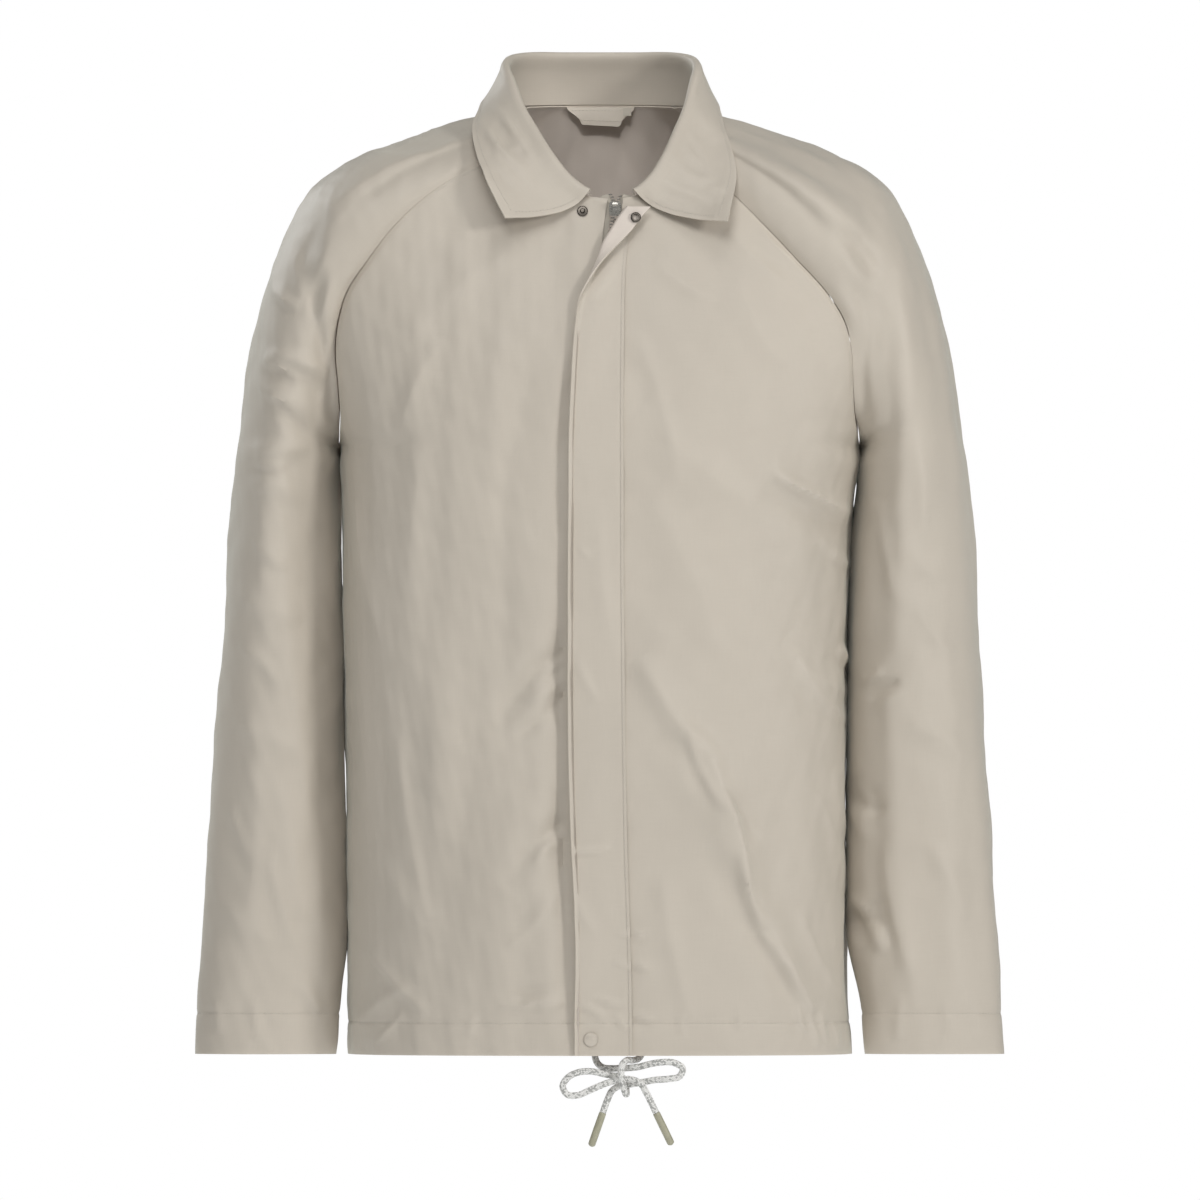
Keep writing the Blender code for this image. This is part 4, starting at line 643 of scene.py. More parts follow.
def add_piece(name, points, faces, finishes, uv=None, wear_and_crest_highlight=None, smooth=0):
    """An object from points in millimetres, with a UV map in metres and how worn each point is, with the
    painted highlight on crests.

    Where `smooth` is an angle in degrees, edges sharper than it stay sharp.
    """
    mesh = bpy.data.meshes.new(name)
    faces = np.asarray(faces, dtype=np.int32)
    sides = faces.shape[1]
    mesh.vertices.add(len(points))
    mesh.vertices.foreach_set("co", (np.asarray(points, dtype=np.float32) * MM).ravel())
    mesh.loops.add(faces.size)
    mesh.loops.foreach_set("vertex_index", faces.ravel())
    mesh.polygons.add(len(faces))
    mesh.polygons.foreach_set("loop_start", np.arange(0, faces.size, sides, dtype=np.int32))
    mesh.update(calc_edges=True)
    if uv is not None:
        layer = mesh.uv_layers.new(name="UVMap")
        corners = uv[faces.ravel()] if len(uv) == len(points) else uv
        layer.data.foreach_set("uv", np.asarray(corners, dtype=np.float32).ravel())
    if wear_and_crest_highlight is not None:
        layer = mesh.attributes.new("wear_and_crest_highlight", "FLOAT", "POINT")
        layer.data.foreach_set("value", np.asarray(wear_and_crest_highlight, dtype=np.float32))
    mesh.shade_smooth()
    if smooth:
        mesh.set_sharp_from_angle(angle=math.radians(smooth))
    piece = bpy.data.objects.new(name, mesh)
    bpy.context.scene.collection.objects.link(piece)
    for one in finishes:
        mesh.materials.append(one)
    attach(piece, BODY)
    return piece


def grid_faces(rows, columns, wrap=False):
    """Quads of a grid of points. Where it wraps, the last column is left out and joins the first."""
    index = np.arange(rows * columns).reshape(rows, columns)
    if wrap:
        index[:, -1] = index[:, 0]
    quads = np.stack([index[:-1, :-1], index[:-1, 1:], index[1:, 1:], index[1:, :-1]], axis=-1)
    return quads.reshape(-1, 4)


def grid_lengths(grid):
    """Mean run along and up a grid, in metres, as a UV map: the cloth's own measure."""
    along = np.concatenate([[0.0], np.cumsum(np.linalg.norm(np.diff(grid, axis=1), axis=-1).mean(axis=0))])
    up = np.concatenate([[0.0], np.cumsum(np.linalg.norm(np.diff(grid, axis=0), axis=-1).mean(axis=1))])
    return np.stack(np.meshgrid(along * MM, up * MM), axis=-1).reshape(-1, 2)


def wall_of(outer, inward, closed_rows=0):
    """Points and faces of a closed wall: a grid, its copy moved inwards and the strips round the edge.

    The first `closed_rows` rows run all round, so their last column is their first one again.
    """
    rows, columns = outer.shape[:2]
    index = np.arange(rows * columns).reshape(rows, columns)
    index[:closed_rows, -1] = index[:closed_rows, 0]
    under = index + rows * columns
    skin = np.stack([index[:-1, :-1], index[:-1, 1:], index[1:, 1:], index[1:, :-1]], axis=-1).reshape(-1, 4)
    inside = skin[:, ::-1] + rows * columns
    low = np.stack([index[0, :-1], under[0, :-1], under[0, 1:], index[0, 1:]], axis=-1)
    high = np.stack([index[-1, 1:], under[-1, 1:], under[-1, :-1], index[-1, :-1]], axis=-1)
    first = max(closed_rows - 1, 0)
    here, after = slice(first, -1), slice(first + 1, None)
    left = np.stack([index[after, 0], under[after, 0], under[here, 0], index[here, 0]], axis=-1)
    right = np.stack([index[here, -1], under[here, -1], under[after, -1], index[after, -1]], axis=-1)
    faces = np.concatenate([skin, inside, low, high, left, right])
    points = np.concatenate([outer.reshape(-1, 3), (outer + inward).reshape(-1, 3)])
    corners = points[faces]
    volume = np.einsum("ij,ij->i", corners[:, 0], np.cross(corners[:, 1], corners[:, 2])).sum()
    volume += np.einsum("ij,ij->i", corners[:, 0], np.cross(corners[:, 2], corners[:, 3])).sum()
    return points, (faces if volume > 0.0 else faces[:, ::-1]), len(skin)


def add_cloth(name, outer, normals, finishes, wall, closed_rows=0, wear_and_crest_highlight=None):
    """A panel as a closed wall of cloth. Its inner face takes the second finish."""
    points, faces, skin = wall_of(outer, -normals * wall, closed_rows)
    used, compact = np.unique(faces, return_inverse=True)
    uv = np.tile(grid_lengths(outer), (2, 1))
    wear_and_crest_highlight = np.zeros(outer.shape[:2]) if wear_and_crest_highlight is None else wear_and_crest_highlight
    wear_and_crest_highlight = np.tile(wear_and_crest_highlight.ravel(), 2)[used]
    piece = add_piece(name, points[used], compact.reshape(-1, 4), finishes, uv[used], wear_and_crest_highlight, CLOTH_SHARP)
    inner = np.zeros(len(faces), dtype=np.int32)
    inner[skin:2 * skin] = 1
    piece.data.polygons.foreach_set("material_index", inner)
    return piece


def tube(path, radii, sides):
    """Points and quads of rings along a path: each ring stands across the path and never twists.

    `radii` is one size for each ring, or one for each point of each ring.
    """
    tangent = unit(np.gradient(path, axis=0))
    across = np.zeros_like(path)
    side = np.array([0.0, 0.0, 1.0]) if abs(tangent[0, 2]) < 0.8 else np.array([1.0, 0.0, 0.0])
    for i, way in enumerate(tangent):
        side = unit(side - way * np.dot(side, way))
        across[i] = side
    other = np.cross(tangent, across)
    turn = np.linspace(0.0, 2.0 * np.pi, sides + 1)
    radii = np.broadcast_to(np.asarray(radii, dtype=float).reshape(len(path), -1), (len(path), sides + 1))
    rings = np.cos(turn)[None, :, None] * across[:, None] + np.sin(turn)[None, :, None] * other[:, None]
    points = path[:, None] + rings * radii[..., None]
    run = np.concatenate([[0.0], np.cumsum(np.linalg.norm(np.diff(path, axis=0), axis=1))]) * MM
    uv = np.stack(np.meshgrid(turn / (2.0 * np.pi), run), axis=-1)
    return points, uv


def add_tube(name, path, radii, sides, finishes):
    """A closed tube: its ends are drawn together to a point."""
    points, uv = tube(path, radii, sides)
    first, last = (np.repeat(end[None, None], sides + 1, axis=1) for end in (path[0], path[-1]))
    points = np.concatenate([first, points, last])
    uv = np.concatenate([uv[:1], uv, uv[-1:]]).reshape(-1, 2)
    quads = grid_faces(len(points), sides + 1, wrap=True)
    corners = grid_faces(len(points), sides + 1)
    flat = points.reshape(-1, 3)
    volume = np.einsum("ij,ij->i", flat[quads[:, 0]], np.cross(flat[quads[:, 1]], flat[quads[:, 3]])).sum()
    if volume < 0.0:
        quads, corners = quads[:, ::-1], corners[:, ::-1]
    used, compact = np.unique(quads, return_inverse=True)
    return add_piece(name, flat[used], compact.reshape(-1, 4), finishes, uv[corners.ravel()])


def even_run(path, spacing):
    """Points evenly spaced on a path, and how long it is."""
    run = np.concatenate([[0.0], np.cumsum(np.linalg.norm(np.diff(path, axis=0), axis=1))])
    even = np.linspace(0.0, run[-1], max(int(round(run[-1] / spacing)), 2) + 1)
    return np.stack([np.interp(even, run, path[:, i]) for i in range(3)], axis=-1), run[-1]


# Finishes

def node(tree, kind, inputs=(), **settings):
    """A shader node with its settings, its inputs set to values or linked to sockets."""
    made = tree.nodes.new("ShaderNode" + kind)
    for key, value in settings.items():
        setattr(made, key, value)
    for key, value in dict(inputs).items():
        if isinstance(value, bpy.types.NodeSocket):
            tree.links.new(value, made.inputs[key])
        else:
            made.inputs[key].default_value = value
    return made


def finish_of(name, slot, roughness, metallic=0.0, colour=(0.5, 0.5, 0.5), **sockets):
    """A Principled finish: its material, tree and shader."""
    made = bpy.data.materials.new(name)
    made.use_nodes = True
    made["slot"] = slot
    shader = made.node_tree.nodes["Principled BSDF"]
    shader.inputs["Base Color"].default_value = (*colour, 1.0)
    shader.inputs["Roughness"].default_value = roughness
    shader.inputs["Metallic"].default_value = metallic
    for key, value in sockets.items():
        shader.inputs[key.replace("_", " ").title().replace("Ior", "IOR")].default_value = value
    return made, made.node_tree, shader


def mixed(tree, share, first, second):
    """The colour between two others, by a share."""
    mix = node(tree, "Mix", data_type="RGBA", clamp_factor=True)
    for socket, value in ((mix.inputs[0], share), (mix.inputs[6], first), (mix.inputs[7], second)):
        if isinstance(value, bpy.types.NodeSocket):
            tree.links.new(value, socket)
        else:
            socket.default_value = value if isinstance(value, float) else (*value, 1.0)
    return mix.outputs[2]


def maths(tree, operation, first, second=0.0):
    """The result of a Math node."""
    return node(tree, "Math", {0: first, 1: second}, operation=operation).outputs[0]


def spread(tree, value, low, high, to_low=0.0, to_high=1.0):
    """A value moved from one range to another."""
    return node(tree, "MapRange", {0: value, 1: low, 2: high, 3: to_low, 4: to_high}).outputs[0]


def noise(tree, place, scale, detail=2.0, stretch=(1.0, 1.0, 1.0)):
    """Soft noise at a place, stretched along its axes."""
    moved = node(tree, "Mapping", {"Vector": place, "Scale": stretch})
    return node(tree, "TexNoise", {"Vector": moved.outputs[0], "Scale": scale, "Detail": detail}).outputs[0]


def bumped(tree, shader, height, strength, distance, **more):
    """Raise a shader's surface by a height, over another normal where one is given."""
    bump = node(tree, "Bump", {"Height": height, "Strength": strength, "Distance": distance, **more})
    tree.links.new(bump.outputs[0], shader.inputs["Normal"])
    return bump.outputs[0]


def shaded(colour, share):
    """A colour made lighter or darker by a share, at most white."""
    return tuple(min(one * share, 1.0) for one in colour)


WAVE = 0.31416          # a Wave Texture of this scale repeats every metre
THREAD_TWIST = 0.0005   # metres from one turn of a thread to the next
BRAID_AROUND = 10       # strands round the drawcord
BRAID_PITCH = 0.0020    # metres along it from one strand to the next


def woven(name, slot, colour, roughness, pitch, lift, variation=0.035, sheen=0.3):
    """Plain weave: two crossed rows of waves in the UV map as bump, with slubs, slow shade, worn edges and a
    painted highlight on crests.
    """
    made, tree, shader = finish_of(name, slot, roughness, 0.0, colour, sheen_weight=sheen,
                                   sheen_roughness=0.38, sheen_tint=(0.92, 0.97, 0.88, 1.0),
                                   specular_ior_level=0.36)
    place = node(tree, "TexCoord")
    uv, spot = place.outputs["UV"], place.outputs["Object"]
    weft = node(tree, "TexWave", {"Vector": uv, "Scale": WAVE / pitch}, bands_direction="X").outputs[1]
    warp = node(tree, "TexWave", {"Vector": uv, "Scale": WAVE / pitch}, bands_direction="Y").outputs[1]
    over = maths(tree, "ABSOLUTE", maths(tree, "SUBTRACT", weft, warp))
    slubs = [noise(tree, uv, 1.0, 3.0, stretch) for stretch in ((60.0, 1400.0, 1.0), (1400.0, 60.0, 1.0))]
    slub = maths(tree, "ADD", *slubs)
    slow = noise(tree, spot, 9.0, 3.0, (1.6, 1.0, 0.5))
    slow_shade = spread(tree, slow, 0.3, 0.7, -1.0, 1.0)
    slub_shade = spread(tree, slub, 0.7, 1.3, -0.6, 0.6)
    shade = maths(tree, "ADD", slow_shade, slub_shade)
    dark, light = shaded(colour, 1.0 - variation), shaded(colour, 1.0 + variation)
    base = mixed(tree, spread(tree, shade, -1.3, 1.3), dark, light)
    # The attribute read here pales the colour. At edges and seams that is real wear, and on the crests of the
    # creases it is a painted highlight.
    wear_and_crest_highlight = node(tree, "Attribute", attribute_name="wear_and_crest_highlight").outputs["Fac"]
    pale = tuple(min(c * 1.10 + 0.01, 1.0) for c in colour)
    tree.links.new(mixed(tree, maths(tree, "MULTIPLY", wear_and_crest_highlight, 0.6), base, pale), shader.inputs["Base Color"])
    dull = spread(tree, shade, -1.3, 1.3, roughness - 0.05, roughness + 0.05)
    tree.links.new(dull, shader.inputs["Roughness"])
    fine = bumped(tree, shader, over, 0.35, lift)
    bumped(tree, shader, slub, 0.25, lift * 2.0, Normal=fine)
    return made


def braided(name, slot, light, dark):
    """Marled braid: strands as cells of two crossed diagonals in the UV map, some of the darker yarn, with
    painted shade between the strands.
    """
    made, tree, shader = finish_of(name, slot, 0.82, sheen_weight=0.25, sheen_roughness=0.5)
    uv = node(tree, "SeparateXYZ", {0: node(tree, "TexCoord").outputs["UV"]})
    turn = maths(tree, "MULTIPLY", uv.outputs[0], float(BRAID_AROUND))
    rise = maths(tree, "DIVIDE", uv.outputs[1], BRAID_PITCH)
    one, two = maths(tree, "ADD", turn, rise), maths(tree, "SUBTRACT", turn, rise)
    cell = node(tree, "CombineXYZ", {0: maths(tree, "FLOOR", one), 1: maths(tree, "FLOOR", two)})
    chance = node(tree, "TexWhiteNoise", {"Vector": cell.outputs[0]}).outputs["Value"]
    waves = [maths(tree, "SINE", maths(tree, "MULTIPLY", x, math.pi)) for x in (one, two)]
    bulge = maths(tree, "MULTIPLY", *[maths(tree, "ABSOLUTE", wave) for wave in waves])
    fleck = spread(tree, chance, 0.60, 0.72)
    yarn = mixed(tree, fleck, light, dark)
    # Painted shade: the colour darkens between the strands, where they dip.
    seams = mixed(tree, spread(tree, bulge, 0.0, 0.4, 0.4, 0.0), yarn, shaded(dark, 0.6))
    tree.links.new(seams, shader.inputs["Base Color"])
    bumped(tree, shader, bulge, 0.6, 0.0003)
    return made


def metal(name, slot, colour, roughness):
    """Plated metal: brushed by stretched noise, darker and duller in soft patches."""
    made, tree, shader = finish_of(name, slot, roughness, 1.0, colour)
    spot = node(tree, "TexCoord").outputs["Object"]
    brushed = noise(tree, spot, 1.0, 4.0, (300.0, 300.0, 4000.0))
    patch = noise(tree, spot, 260.0, 3.0)
    base = mixed(tree, spread(tree, patch, 0.35, 0.7, 0.0, 0.5), colour, shaded(colour, 0.6))
    tree.links.new(base, shader.inputs["Base Color"])
    dull = spread(tree, brushed, 0.3, 0.7, roughness - 0.08, roughness + 0.12)
    tree.links.new(dull, shader.inputs["Roughness"])
    bumped(tree, shader, brushed, 0.15, 0.00003)
    return made


def coated(name, slot, colour, roughness):
    """Lacquer or a dipped coat: slow shade and a fine orange-peel bump."""
    made, tree, shader = finish_of(name, slot, roughness, 0.0, colour, coat_weight=0.15, coat_roughness=0.35)
    spot = node(tree, "TexCoord").outputs["Object"]
    patch = noise(tree, spot, 220.0, 3.0)
    base = mixed(tree, spread(tree, patch, 0.3, 0.7), shaded(colour, 0.9), shaded(colour, 1.08))
    tree.links.new(base, shader.inputs["Base Color"])
    bumped(tree, shader, noise(tree, spot, 900.0, 2.0), 0.4, 0.00004)
    return made


def thread_finish(name, slot, colour):
    """Twisted thread: slanting rows of light and shade across each stitch."""
    made, tree, shader = finish_of(name, slot, 0.6, 0.0, colour, sheen_weight=0.3)
    spot = node(tree, "TexCoord").outputs["Object"]
    scale = WAVE / THREAD_TWIST
    twist = node(tree, "TexWave", {"Vector": spot, "Scale": scale}, bands_direction="DIAGONAL").outputs[1]
    tree.links.new(mixed(tree, twist, shaded(colour, 0.8), colour), shader.inputs["Base Color"])
    return made


FINISHES = {}


def finish(key):
    """The finish of that name, made when it is first asked for."""
    if not FINISHES:
        cloth, trim = bpy.context.scene.jacket_cloth, bpy.context.scene.jacket_trim
        FINISHES.update(
            cloth=woven("nylon_outside", "cloth", tuple(cloth.colour), 0.56, 0.00055, 0.00006),
            # The inside finish takes the lighter inside colour, which is painted light for the shaded inside
            # of the neck.
            inside=woven("nylon_inside", "cloth", tuple(cloth.inside_colour_painted_lighter), 0.66, 0.00055, 0.00006, sheen=0.15),
            tape=woven("zip_tape_weave", "tape", (0.47, 0.43, 0.365), 0.75, 0.0011, 0.00015, sheen=0.2),
            thread=thread_finish("sewing_thread", "cloth", tuple(cloth.thread_colour)),
            cord=braided("drawcord_braid", "cord", tuple(trim.cord_light), tuple(trim.cord_dark)),
            tip=coated("dipped_tip", "cord_tip", tuple(trim.tip_colour), 0.42),
            cap=coated("snap_lacquer", "snap_cap", tuple(cloth.colour), 0.42),
            nickel=metal("zip_nickel", "nickel", tuple(trim.nickel), 0.26),
            dark_nickel=metal("snap_dark_nickel", "dark_nickel", tuple(trim.dark_nickel), 0.3),
        )
    return FINISHES[key]


def refinish(name, key):
    """Give a node of the frame its finish, in every slot of its object."""
    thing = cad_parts[name]
    if not thing.material_slots:
        thing.data.materials.append(None)
    for slot in thing.material_slots:
        slot.link = "OBJECT"
        slot.material = finish(key)


# Panels

UNDERARM = ARMHOLE["height"][0]
SEAM_FADE = 7.0         # creases die out this close to a seam, where the cloth is doubled and sewn
SEAM_DEPTH = 0.7
SEAM_WIDTH = 2.4
STITCH_INSET = 2.2
FRONT_STEP = 0.75       # the fronts' grid is finer than the others', as their creases show most
FRONT_WIDTH, BACK_WIDTH, SLEEVE_ROUND = 275, 540, 330
TOUCH_PRESS = 0.4       # a sleeve presses this far into the body's side
SLEEVE_CREST = 1.5      # the height that a sleeve's creases never pass
EDGE_WEAR = 1.6         # how far up from the hem and cuffs the cloth is worn pale
SEAM_WEAR = 1.5
BUILT = {}              # each panel's finished points, normals and row places by name


def fine_rows(places, seam, step):
    """Row places: close together in the turned-up edge, a step apart above it, and one on each seam."""
    low = np.arange(places[0], seam, step * 0.6)
    high = np.arange(seam, places[-1], step)
    return np.unique(np.round(np.concatenate([low, high, [seam, UNDERARM, places[-1]]]), 4))


def close_seam(grid, coarse, places, rows, column):
    """Below the underarm, bring an edge column back to its seam, and its neighbours with it."""
    low = rows <= UNDERARM
    known = places <= UNDERARM
    shift = smooth_curve(coarse[known][:, column], places[known], rows[low]) - grid[low, column]
    reach = np.abs(np.arange(grid.shape[1]) - (column % grid.shape[1]))
    grid[low] += shift[:, None] * np.exp(-reach / 4.0)[None, :, None]


def crumple(grid, height, free, seed):
    """How far the cloth stands out by its creases and by slow unevenness, nothing on its seams."""
    slow = 0.42 * drift(grid, 95.0, seed) + 0.12 * drift(grid, 27.0, seed + 1)
    calm = smooth_step(free / SEAM_FADE)
    return (height + slow) * calm * bpy.context.scene.jacket_cloth.crease


def hem_shape(grid, seam):
    """The turned-up edge: a stitched line pulled in at its top and a slight roundness below it."""
    above = grid[..., 2] - seam
    share = np.clip((grid[..., 2] - HEM_HEIGHT) / (seam - HEM_HEIGHT), 0.0, 1.0)
    return groove(above, 0.55, 1.3) + 0.5 * np.sin(np.pi * share)


def worked_cloth(grid, height, seam, hem_seam, seed, seam_share=0.5):
    """How far a panel's points stand out along their normals, how worn they are and how much painted
    highlight lies on their crests.

    The sum of creases and unevenness, a groove exp(-d^2) at seams and neck, and the turned-up edge. Wear
    falls off with exp(-d) from edges and seams, and a painted highlight is added on the crests, paler where
    they stand higher.
    """
    neck = np.linalg.norm(grid - grid[-1][None], axis=-1)
    move = crumple(grid, height, np.minimum(seam, neck), seed)
    move += groove(seam, SEAM_DEPTH, SEAM_WIDTH) + groove(neck, SEAM_DEPTH, SEAM_WIDTH)
    move += hem_shape(grid, hem_seam)
    wear_and_crest_highlight = np.exp(-(grid[..., 2] - HEM_HEIGHT) / EDGE_WEAR) + seam_share * np.exp(-seam / SEAM_WEAR)
    # Painted highlight: the crests of the creases are made paler in colour, more where they stand higher.
    return move, wear_and_crest_highlight + np.clip(height / 2.5, 0, 0.5)


def make_front(side):
    """One front: the body's section between zip and side seam, with its creases."""
    step = FRONT_STEP * bpy.context.scene.jacket_cloth.grid / MM
    coarse = front_grid(side)
    rows = fine_rows(BODY_PLACES, HEM_HEIGHT + HEM_DEPTH, step)
    grid = refine(coarse, BODY_PLACES, rows, int(FRONT_WIDTH / step))
    close_seam(grid, coarse, BODY_PLACES, rows, -1)
    normals = outward(grid, normals_of(grid), BODY_HEART)
    height = creases(FRONT_CREASES, grid[..., 0], grid[..., 2])
    seed = 3 if side < 0 else 8
    move, wear_and_crest_highlight = worked_cloth(grid, height, edge_distance(grid, -1), HEM_HEIGHT + HEM_DEPTH, seed)
    name = "right" if side < 0 else "left"
    BUILT[f"front_{name}"] = (grid + normals * move[..., None], normals, rows)
    panel("front_" + name, wear_and_crest_highlight)


def make_back():
    """The back: the body's section from side to side behind, with its creases."""
    step = bpy.context.scene.jacket_cloth.grid / MM
    coarse = back_grid()
    rows = fine_rows(BODY_PLACES, HEM_HEIGHT + HEM_DEPTH, step)
    grid = refine(coarse, BODY_PLACES, rows, int(BACK_WIDTH / step))
    for column in (0, -1):
        close_seam(grid, coarse, BODY_PLACES, rows, column)
    normals = outward(grid, normals_of(grid), BODY_HEART)
    seam = np.minimum(edge_distance(grid, 0), edge_distance(grid, -1))
    height = creases(BACK_CREASES, grid[..., 0], grid[..., 2])
    move, wear_and_crest_highlight = worked_cloth(grid, height, seam, HEM_HEIGHT + HEM_DEPTH, 14)
    BUILT["back"] = (grid + normals * move[..., None], normals, rows)
    panel("back", wear_and_crest_highlight)


def side_fold(grid, side):
    """How far back the front of a sleeve is pressed beside the body.

    Depth times S(1.25 - u) at u reaches from the body, where S is the smooth step.
    """
    name = "right" if side < 0 else "left"
    reach = read(SIDE_FOLD, name + "_reach", "height", grid[..., 2])
    depth = read(SIDE_FOLD, name + "_depth", "height", grid[..., 2])
    inner = read(SLEEVE, "inner_" + name, "height", grid[..., 2])
    beside = 1.25 - (np.abs(grid[..., 0]) - inner) / reach
    return depth * smooth_step(beside) * smooth_step((4.0 - grid[..., 1]) / 26.0)


def side_touch(grid, side):
    """How far the inner side of a hanging sleeve leans in until it touches the body, fading to the cuff."""
    name = "right" if side < 0 else "left"
    inner = read(SLEEVE, "inner_" + name, "height", grid[..., 2])
    gap = inner - read(BODY_SIZES, name, "height", grid[..., 2]) + TOUCH_PRESS
    near = smooth_step((inner + 24.0 - np.abs(grid[..., 0])) / 22.0)
    above_cuff = smooth_step((grid[..., 2] + 690.0) / 70.0)
    below_arm = smooth_step((UNDERARM + 4.0 - grid[..., 2]) / 16.0)
    return np.maximum(gap, 0.0) * near * above_cuff * below_arm


def make_sleeve(side):
    """One raglan sleeve: a tube of two arcs below the underarm, open between its seams above it."""
    step = bpy.context.scene.jacket_cloth.grid / MM
    coarse = sleeve_grid(side)
    rows = fine_rows(SLEEVE_PLACES, HEM_HEIGHT + CUFF_DEPTH, step)
    grid = refine(coarse, SLEEVE_PLACES, rows, int(SLEEVE_ROUND / step))
    for column in (0, -1):
        close_seam(grid, coarse, SLEEVE_PLACES, rows, column)
    closed = int((rows <= UNDERARM).sum())
    joined = (grid[:closed, 0] + grid[:closed, -1]) / 2.0
    grid[:closed, 0] = joined
    grid[:closed, -1] = joined
    normals = normals_of(grid)
    normals[:closed] = normals_of(grid[:closed], wrap=True)
    centre = grid.mean(axis=1, keepdims=True) - np.array([side * 20.0, 0.0, 25.0])
    normals = outward(grid, normals, centre)
    seam = np.minimum(edge_distance(grid, 0), edge_distance(grid, -1))
    seam[:closed] = edge_distance(grid[:closed], 0)
    ahead = smooth_step((-normals[..., 1] - 0.1) / 0.75)
    behind = smooth_step((normals[..., 1] - 0.1) / 0.75)
    fronts = RIGHT_SLEEVE_CREASES if side < 0 else LEFT_SLEEVE_CREASES
    height = creases(fronts, grid[..., 0], grid[..., 2]) * ahead
    height += creases(SLEEVE_BACK_CREASES, np.abs(grid[..., 0]) + 3.0 * side, grid[..., 2]) * behind
    height = SLEEVE_CREST * np.tanh(height / SLEEVE_CREST)
    seed = 21 if side < 0 else 29
    move, wear_and_crest_highlight = worked_cloth(grid, height, seam, HEM_HEIGHT + CUFF_DEPTH, seed, seam_share=0.4)
    grid[..., 1] += side_fold(grid, side)
    grid[..., 0] -= side * side_touch(grid, side)
    name = "sleeve_right" if side < 0 else "sleeve_left"
    BUILT[name] = (grid + normals * move[..., None], normals, rows)
    panel(name, wear_and_crest_highlight, closed_rows=closed)


def panel(name, wear_and_crest_highlight, closed_rows=0, wall=None):
    """Make a panel's wall from its worked-out grid, in place of its solid."""
    grid, normals, _ = BUILT[name]
    wall = bpy.context.scene.jacket_cloth.wall / MM if wall is None else wall
    faces = [finish("cloth"), finish("inside")]
    piece = add_cloth(name + "_cloth", grid, normals, faces, wall, closed_rows, wear_and_crest_highlight)
    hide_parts(name)
    return piece


# Sewing

STITCH_LIFT = 0.12      # the thread's own middle stands this far off the cloth


def stitch_row(path, normals, pitch, width):
    """Stitches along a path: each is a small spindle, thickest in its middle and sunk at both ends.

    Ring radius is width / 2 times the square root of 1 - s^2, and its height falls off with s^2.
    """
    even, _ = even_run(path, pitch)
    old, new = np.linspace(0.0, 1.0, len(path)), np.linspace(0.0, 1.0, len(even))
    normal = unit(np.stack([np.interp(new, old, normals[:, i]) for i in range(3)], axis=-1))
    middle = (even[1:] + even[:-1]) / 2.0
    along = even[1:] - even[:-1]
    normal = unit(normal[1:] + normal[:-1])
    across = unit(np.cross(along, normal))
    sides, rings = 5, np.array([-1.0, -0.6, 0.6, 1.0])
    turn = np.linspace(0.0, 2.0 * np.pi, sides, endpoint=False)
    radius = width / 2.0 * np.sqrt(np.maximum(1.0 - rings ** 2, 0.02))
    high = STITCH_LIFT + width * (0.2 - 0.55 * rings ** 2)
    place = middle[:, None] + along[:, None] * 0.42 * rings[None, :, None]
    place += normal[:, None] * high[None, :, None]
    ring = np.cos(turn)[:, None] * across[:, None, None] + np.sin(turn)[:, None] * normal[:, None, None]
    points = place[:, :, None] + ring * radius[None, :, None, None]
    index = np.arange(len(middle) * 4 * sides).reshape(len(middle), 4, sides)
    after = np.roll(index, -1, axis=2)
    faces = np.stack([index[:, :-1], after[:, :-1], after[:, 1:], index[:, 1:]], axis=-1)
    return points.reshape(-1, 3), faces.reshape(-1, 4)


def add_stitches(name, rows):
    """One piece of sewing from rows of (path, normals)."""
    cloth = bpy.context.scene.jacket_cloth
    points, faces, count = [], [], 0
    for path, normals in rows:
        made, quads = stitch_row(path, normals, cloth.stitch / MM, cloth.thread / MM)
        points.append(made)
        faces.append(quads + count)
        count += len(made)
    piece = add_piece(name, np.concatenate(points), np.concatenate(faces), [finish("thread")])


def row_at(name, height):
    """The built row of a panel that lies at a place, with its normals."""
    grid, normals, rows = BUILT[name]
    spot = int(np.argmin(np.abs(rows - height)))
    return grid[spot], normals[spot]


def beside_edge(name, column, inset, start):
    """A line a little inside an edge column of a panel, from a place upwards."""
    grid, normals, rows = BUILT[name]
    kept = rows >= start
    toward = 1 if column == 0 else -2
    step = unit(grid[kept, toward] - grid[kept, column])
    gap = np.linalg.norm(grid[kept, toward] - grid[kept, column], axis=-1, keepdims=True)
    share = np.clip(inset / gap, 0.0, 1.0)
    turned = unit(normals[kept, column] * (1 - share) + normals[kept, toward] * share)
    return grid[kept, column] + step * inset, turned


# Collar

COLLAR_CREASES = table(CREASE_COLUMNS, [
    (-86, -18, -66, -46, 2, 1.0, 2.6), (-74, -12, -52, -44, -2, 0.9, 2.6),
    (-82, -34, -60, -64, 2, 0.8, 3.0), (58, -50, 88, -60, 2, 0.9, 2.6), (50, -66, 84, -78, -2, 0.8, 2.8),
    (64, -30, 78, -48, 2, 0.8, 3.0), (-92, -10, -58, -52, 4, 0.9, 4), (-80, -2, -62, -38, -3, 0.8, 4),
    (-70, -34, -40, -70, 3, 0.6, 5), (-94, -50, -66, -84, -2, 0.5, 6), (60, -56, 98, -66, 3, 0.9, 4),
    (44, -58, 92, -74, 2, 0.8, 3.5), (66, -20, 84, -58, -3, 0.7, 5), (72, 2, 92, -30, 2, 0.6, 6),
    (36, -72, 70, -80, 1, 0.5, 4),
])


